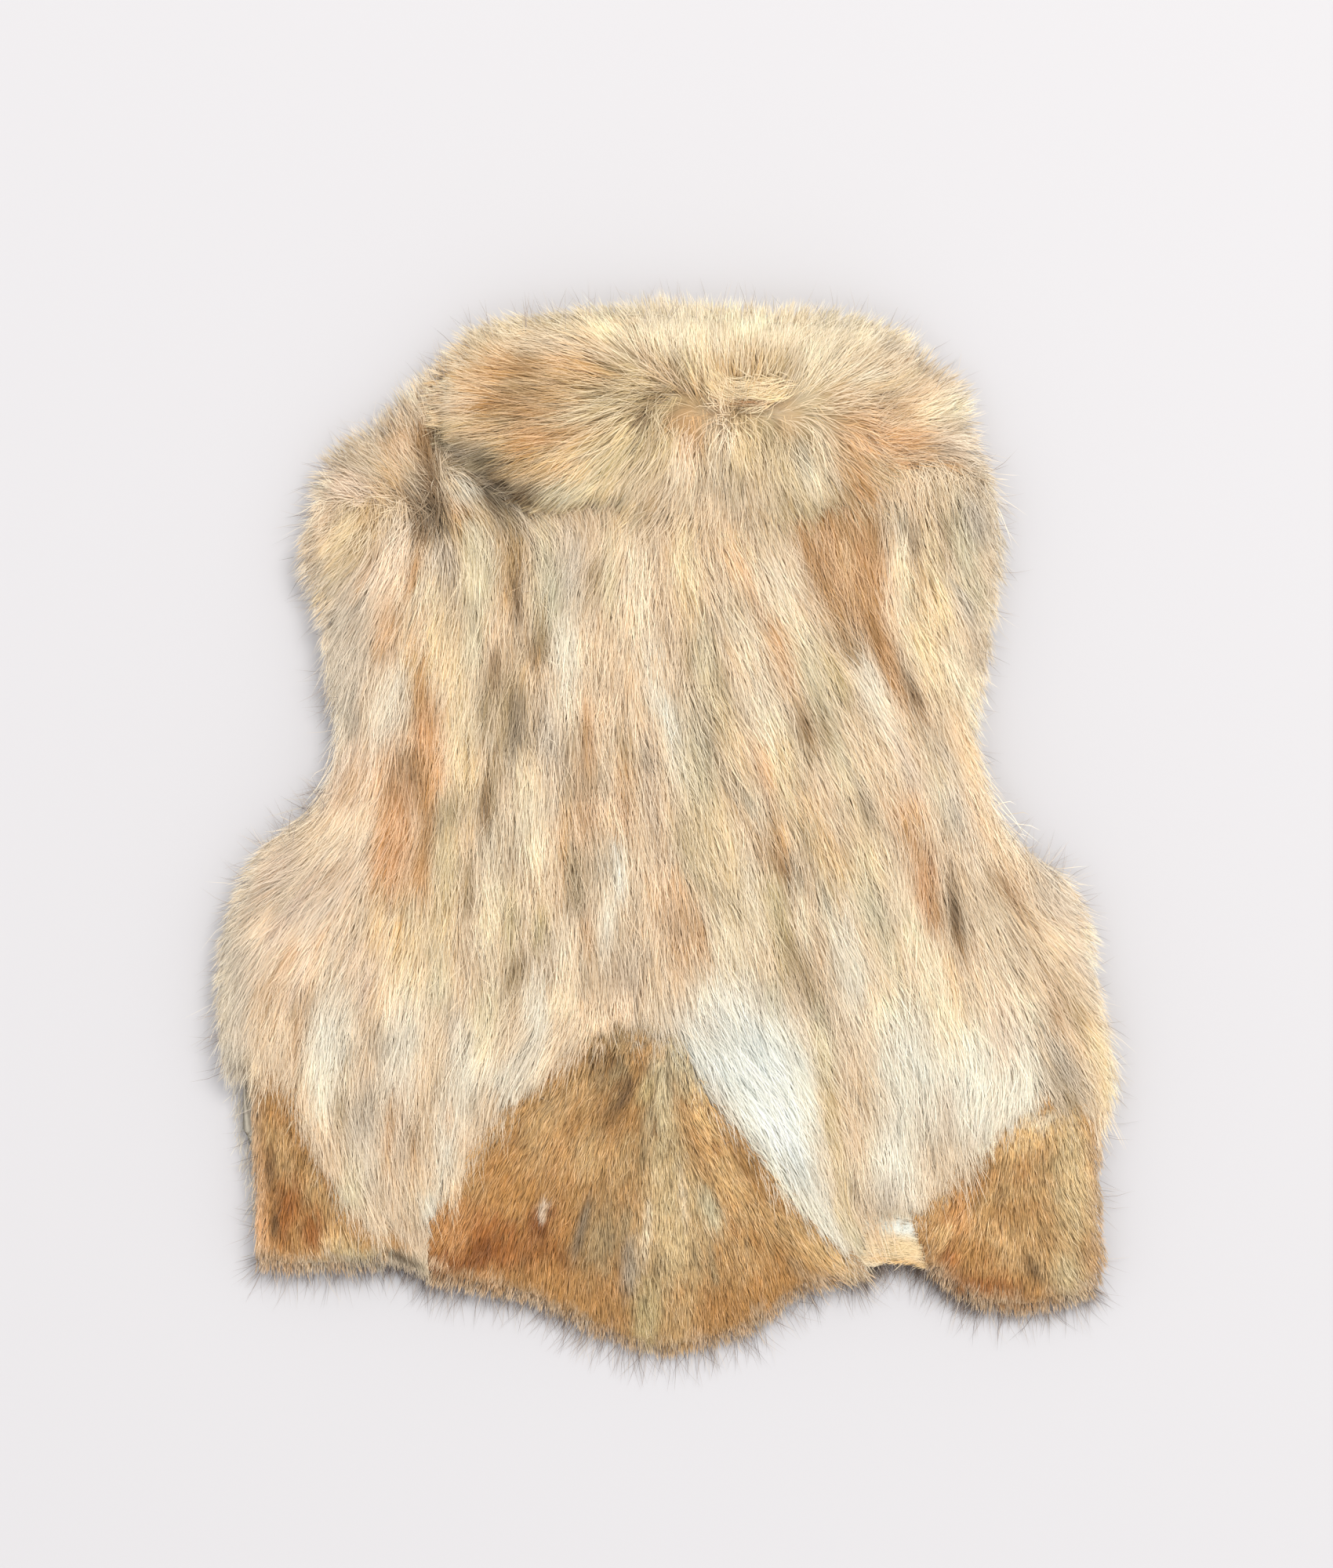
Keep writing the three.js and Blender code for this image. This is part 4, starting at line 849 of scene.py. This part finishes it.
# The shoulders. The fronts' long fur comes over the top of the shoulders to the back, where it is sewn to the
# back's outer pelts. Its hair lies outwards, away from theirs, so dark roots show where the two part.
SHOULDER_COAT = [  # x, y, along, across, lean, colour
    (-175, 225, 24, 20, 0, "sand"), (-195, 210, 14, 14, 0, "blush"), (-165, 238, 14, 10, 40, "fawn"),
    # Beside the collar's left end the dark spots are dark roots where the hair parts, and painted shade in
    # the crease under the collar.
    (-147, 240, 16, 8, 100, "brown"), (-139, 238, 13, 4, 100, "shade"), (-144, 213, 16, 7, 90, "bark"),
    (-162, 207, 6, 4, 40, "bark"), (-170, 214, 14, 7, 20, "honey"), (-150, 196, 12, 7, 0, "bark"),
    (-138, 192, 8, 7, 0, "shade"), (-184, 195, 14, 8, 20, "corn"), (-153, 206, 6, 3, 20, "smoke"),
    (-152, 258, 10, 7, 60, "sand"),
    (145, 242, 24, 18, 0, "apricot"), (150, 258, 18, 10, 0, "peach"), (172, 258, 16, 12, 0, "cream"),
    (182, 236, 16, 14, 0, "pink"), (140, 220, 30, 5, 8, "orange"), (165, 280, 12, 8, 130, "sand"),
    (154, 292, 10, 4, 130, "slate"), (176, 222, 14, 5, 170, "apricot"),
    (152, 215, 26, 8, 5, "ochre"),
]
SHOULDER_FLOW = [  # x, y, heading
    (-145, 202, 120), (-158, 221, 130), (-182, 226, 142), (-197, 211, 160), (-204, 199, 176),
    (-168, 250, 118), (-146, 240, 96), (130, 223, 6), (158, 240, 4), (185, 228, -22),
    (163, 264, 34), (144, 293, 58),
]
shoulder_colours = coat_colours("sand", SHOULDER_COAT)
shoulder_coat = Coat(SHOULDERS, back_owner, BACK_ORDER, shoulder_colours, hair_flow(SHOULDER_FLOW),
                     over_back, LONG)
for name in SHOULDERS:
    lay_hide(name, shoulder_colours, 0.007, 0.008)
    grow(shoulder_coat, name, 95)
    skirt(shoulder_coat, name, on_back, 0.011, 0.024, 26, 0.018, shoulder_colours)

# The collar. A thick roll of the longest fur along the neck, with two falls turned down over the back. It is
# one strip folded double, so it stands highest of all, and its hair parts along the crest.
COLLAR_COAT = [  # x, y, along, across, lean, colour
    # left fall
    (-88, 272, 46, 30, 5, "honey"), (-122, 280, 24, 18, 30, "honey"), (-140, 262, 14, 12, 30, "sand"),
    (-100, 285, 24, 8, 15, "tan"), (-108, 262, 22, 8, 10, "tan"), (-84, 255, 14, 7, 0, "tan"),
    (-68, 300, 38, 9, 0, "sand"), (-60, 282, 26, 8, 165, "honey"), (-44, 262, 20, 12, 20, "straw"),
    (-38, 284, 18, 4, 145, "drab"), (-36, 268, 14, 4, 160, "drab"), (-60, 246, 28, 10, 20, "straw"),
    (-92, 236, 18, 8, 160, "honey"), (-90, 228, 10, 4, 160, "ochre"), (-76, 220, 26, 9, 0, "honey"),
    (-118, 244, 16, 7, 10, "honey"), (-125, 236, 9, 5, 150, "drab"), (-58, 206, 22, 8, 0, "hay"),
    (-34, 214, 18, 12, 60, "straw"), (-18, 247, 15, 6, 65, "bark"), (-24, 256, 9, 5, 60, "drab"),
    (-14, 228, 12, 4, 75, "drab"), (-30, 236, 10, 6, 60, "corn"), (-82, 204, 14, 4, 170, "drab"),
    # The dark spots at the fall's lower end are painted shade in the crease under it.
    (-132, 226, 9, 12, 0, "smoke"), (-139, 238, 10, 3, 100, "shade"), (-128, 209, 6, 3, 40, "bark"),
    (-120, 214, 12, 5, 160, "smoke"), (-112, 228, 11, 6, 150, "shade"), (-104, 220, 9, 5, 150, "bark"),
    (-100, 211, 20, 6, 165, "slate"), (-89, 206, 8, 5, 160, "bark"), (-90, 233, 9, 5, 150, "tan"),
    # roll
    (0, 306, 56, 15, 0, "cream"), (62, 304, 44, 16, 0, "cream"), (105, 296, 32, 18, 0, "cream"),
    (20, 288, 26, 10, 0, "corn"), (46, 278, 18, 8, 0, "gold"), (34, 288, 9, 4, 140, "honey"),
    (134, 290, 20, 14, 0, "sand"), (146, 303, 13, 5, 140, "slate"), (-4, 270, 12, 4, 40, "bark"),
    (-2, 280, 8, 5, 60, "fawn"),
    (4, 286, 8, 3, 100, "drab"), (14, 272, 8, 5, 40, "fawn"), (45, 261, 22, 2.2, 0, "umber"),
    (-14, 290, 14, 6, 120, "sand"), (76, 282, 12, 4, 60, "sand"),
    # right fall
    (8, 252, 10, 9, 70, "fawn"), (14, 240, 24, 9, 88, "apricot"), (32, 245, 26, 9, 92, "blossom"),
    (50, 240, 26, 9, 94, "corn"), (76, 268, 16, 9, 10, "cream"), (76, 250, 18, 8, 110, "gold"),
    (72, 240, 14, 3, 110, "drab"), (86, 238, 16, 3, 115, "drab"), (96, 242, 20, 5, 112, "cream"),
    (90, 218, 19, 9, 108, "cream"), (104, 218, 12, 5, 112, "cream"), (112, 238, 18, 8, 118, "sand"),
    (135, 250, 30, 20, 10, "apricot"), (128, 236, 18, 12, 0, "apricot"), (118, 268, 22, 12, 0, "peach"),
    (60, 215, 15, 8, 95, "corn"), (10, 214, 17, 11, 90, "blossom"), (30, 214, 14, 8, 90, "cream"),
    (34, 254, 18, 5, 0, "peach"), (66, 258, 12, 6, 150, "cream"), (-62, 239, 18, 8, 10, "honey"),
    (-36, 223, 13, 7, 60, "olive"), (62, 260, 12, 4, 10, "peach"), (120, 290, 22, 9, 140, "cream"),
    (0, 276, 10, 6, 60, "sand"), (76, 250, 13, 8, 110, "peach"), (118, 220, 16, 6, 0, "ochre"),
    (-80, 242, 20, 8, 5, "ochre"), (126, 203, 22, 9, 0, "tan"), (-130, 211, 9, 6, 30, "drab"),
]
COLLAR_FLOW = [  # x, y, heading
    (-24, 269, 182), (-43, 283, 166), (-34, 302, 132), (-10, 302, 102), (10, 302, 86),
    (-62, 259, 180), (-96, 278, 170), (-120, 283, 158), (-110, 300, 140), (-120, 259, 186),
    (-130, 240, 194), (-101, 230, 196), (-72, 218, 212), (-43, 221, 224), (-53, 240, 198),
    (-19, 240, 228), (-26, 218, 242), (-5, 247, 262), (10, 238, 268), (34, 233, 274),
    (62, 233, 282), (91, 238, 295), (102, 216, 295), (118, 235, 312), (134, 247, 340),
    (43, 283, 96), (53, 302, 90), (77, 293, 74), (101, 288, 54), (120, 298, 46),
    (144, 288, 36), (110, 269, 22), (130, 269, 12), (72, 274, 58), (26, 271, 104),
]
collar_colours = coat_colours("straw", COLLAR_COAT)
# In the middle the collar's locks run on over the back, so its edge melts away there.
melted = np.exp(-((grid_x - 0.020) / 0.052) ** 4) * np.clip((0.250 - grid_y) / 0.040, 0, 1)
past_edge = (melted * np.clip((0.222 - grid_y) / 0.020, 0, 1))[..., None]
# Its right fall runs out over the shoulder, with no edge between them.
to_shoulder = np.clip((grid_x - 0.095) / 0.030, 0, 1) * np.clip((0.300 - grid_y) / 0.030, 0, 1)
melted = np.maximum(melted, 0.8 * to_shoulder)
collar_colours = collar_colours * (1 - past_edge) + long_colours * past_edge
over_collar = over_all * (1 - melted) + blur(over_all, 70) * melted
COLLAR_PILE = {**LONG, "overlap": 0.014}
collar_spill = np.where(grid_x < -0.03, 0.15, 0.3) + 1.7 * np.exp(-((grid_x - 0.020) / 0.052) ** 4)
collar_spill += 1.3 * to_shoulder
collar_coat = Coat(COLLAR, collar_owner, COLLAR, collar_colours, hair_flow(COLLAR_FLOW), over_collar,
                   COLLAR_PILE, collar_spill)
for name in COLLAR:
    lay_hide(name, collar_colours, 0.008, 0.009)
    grow(collar_coat, name, 84)
    skirt(collar_coat, name, on_back, 0.008, 0.034, 26, 0.018, collar_colours)

# The crest's curl. Where the collar's hair parts, one short lock of its own fur curls to the left over the
# parting, with a thin rusty shadow under it.
curl_at = ((grid_x - 0.050) / 0.022) ** 2 + ((grid_y - 0.269) / 0.009) ** 2 < 1
curl_owner = np.where(curl_at, COLLAR.index("collar_top"), -1)
CURL_FLOW = [(75, 272, 200), (60, 262, 190), (45, 260, 170), (30, 266, 140), (26, 276, 100), (50, 275, 185)]
curl_colours = coat_colours("corn", [(48, 276, 12, 3, 30, "drab"), (40, 272, 8, 2, 60, "drab"),
                                     (45, 262, 24, 1.8, 0, "umber")])
CURL_PILE = {**LONG, "length": 0.020, "shortest": 0.010, "sink": 0.005, "over_share": 0.5, "overlap": 0.004}
curl_coat = Coat(["collar_top"], curl_owner, COLLAR, curl_colours, hair_flow(CURL_FLOW), over_collar + 0.001,
                 CURL_PILE)
grow(curl_coat, "collar_top", 110, "crest_curl")

# Stray hairs. Fine dark guard hairs stand out past the coat all round. Below the hem a low fringe of grey and
# dark hairs stands for wisps and for painted shadow under the hem's edge, thickest and darkest in the notch
# beside the right corner, where it is painted shadow under the overhanging band.
STRAYS = {  # which edge: (number, longest, highest start, how much is dark brown)
    "left": (800, 0.030, 0.9, 0.2), "right": (500, 0.028, 0.9, 0.2), "above": (900, 0.030, 0.95, 0.1),
    "below": (1400, 0.034, 0.6, 0.5), "fringe": (2600, 0.022, 0.25, 0.6), "notch": (2600, 0.022, 0.3, 0.9),
}
STRAY_WIDTH = 0.00023
# Grey and dark hair colours; below the hem and in the notch they also stand for painted shadow.
grey_hair_and_shadow_colours = np.array([srgb(code) for code in ("#8f8178", "#a3958c", "#b0a195", "#cdbfae")])
dark_hair_and_shadow_colours = np.array([srgb(code) for code in ("#6e5d52", "#7d6a5c", "#8a7767", "#59493f")])
way_out = -np.stack(np.gradient(blur(on_back, 6))[::-1], -1)
way_out /= np.linalg.norm(way_out, axis=-1, keepdims=True) + 1e-9
rim = np.argwhere((on_back > 0.4) & (on_back < 0.9))
rim_out = way_out[rim[:, 0], rim[:, 1]]
rim_x, rim_y = GRID_X[rim[:, 1]], GRID_Y[rim[:, 0]]
bottom = (rim_out[:, 1] < -0.5) & (rim_y < -0.2)
rim_at = {
    "left": rim[rim_out[:, 0] < -0.7], "right": rim[rim_out[:, 0] > 0.7], "above": rim[rim_out[:, 1] > 0.6],
    "below": rim[bottom], "fringe": rim[bottom & ((rim_x < -0.06) | (rim_x > 0.10))],
    "notch": rim[(rim_y < -0.2) & (rim_x > 0.118) & (rim_x < 0.195)],
}
for place, (count, longest, highest, dark_share) in STRAYS.items():
    chosen = rim_at[place][rng.integers(0, len(rim_at[place]), count)]
    x, y = GRID_X[chosen[:, 1]], GRID_Y[chosen[:, 0]]
    out = way_out[chosen[:, 0], chosen[:, 1]]
    droop = np.array([0.0, 0.5]) if place == "above" else np.array([0.0, -0.5])
    turn = rng.normal(0, 0.14 if place == "notch" else 0.28, count)
    heading = out + droop
    heading = np.stack([heading[:, 0] * np.cos(turn) - heading[:, 1] * np.sin(turn),
                        heading[:, 0] * np.sin(turn) + heading[:, 1] * np.cos(turn)], -1)
    heading /= np.linalg.norm(heading, axis=-1, keepdims=True)
    t = np.linspace(0, 1, HAIR_STEPS + 1)
    length = longest * rng.uniform(0.45, 1.1, count)
    curl = rng.normal(0, 0.22, count)[:, None, None] * np.stack([-heading[:, 1], heading[:, 0]], -1)[:, None]
    run = (length[:, None] * t)[..., None]
    own = np.stack([x, y], -1)[:, None] - 0.008 * out[:, None] + (heading[:, None] + curl * t[:, None]) * run
    own = np.clip(own, [-0.298, -0.347], [0.298, 0.347])
    level = sample(over_all, own[:, 0, 0], own[:, 0, 1]) * rng.uniform(0.15, highest, count)
    z = np.maximum(level[:, None] - length[:, None] * rng.uniform(0.1, 0.6, count)[:, None] * t ** 1.5, 0.002)
    centre = np.concatenate([own, z[..., None]], -1)
    side = lay_ribbons(centre, STRAY_WIDTH * rng.uniform(0.7, 1.3, count), rng.normal(0, 0.5, count))
    dark = (rng.random(count) < dark_share)[:, None]
    pick = rng.integers(0, 4, count)
    colours = np.where(dark, dark_hair_and_shadow_colours[pick], grey_hair_and_shadow_colours[pick])[:, None].repeat(HAIR_STEPS + 1, 1)
    join(ribbon_mesh("stray_hairs_" + place, centre, side, colours, hair_material))
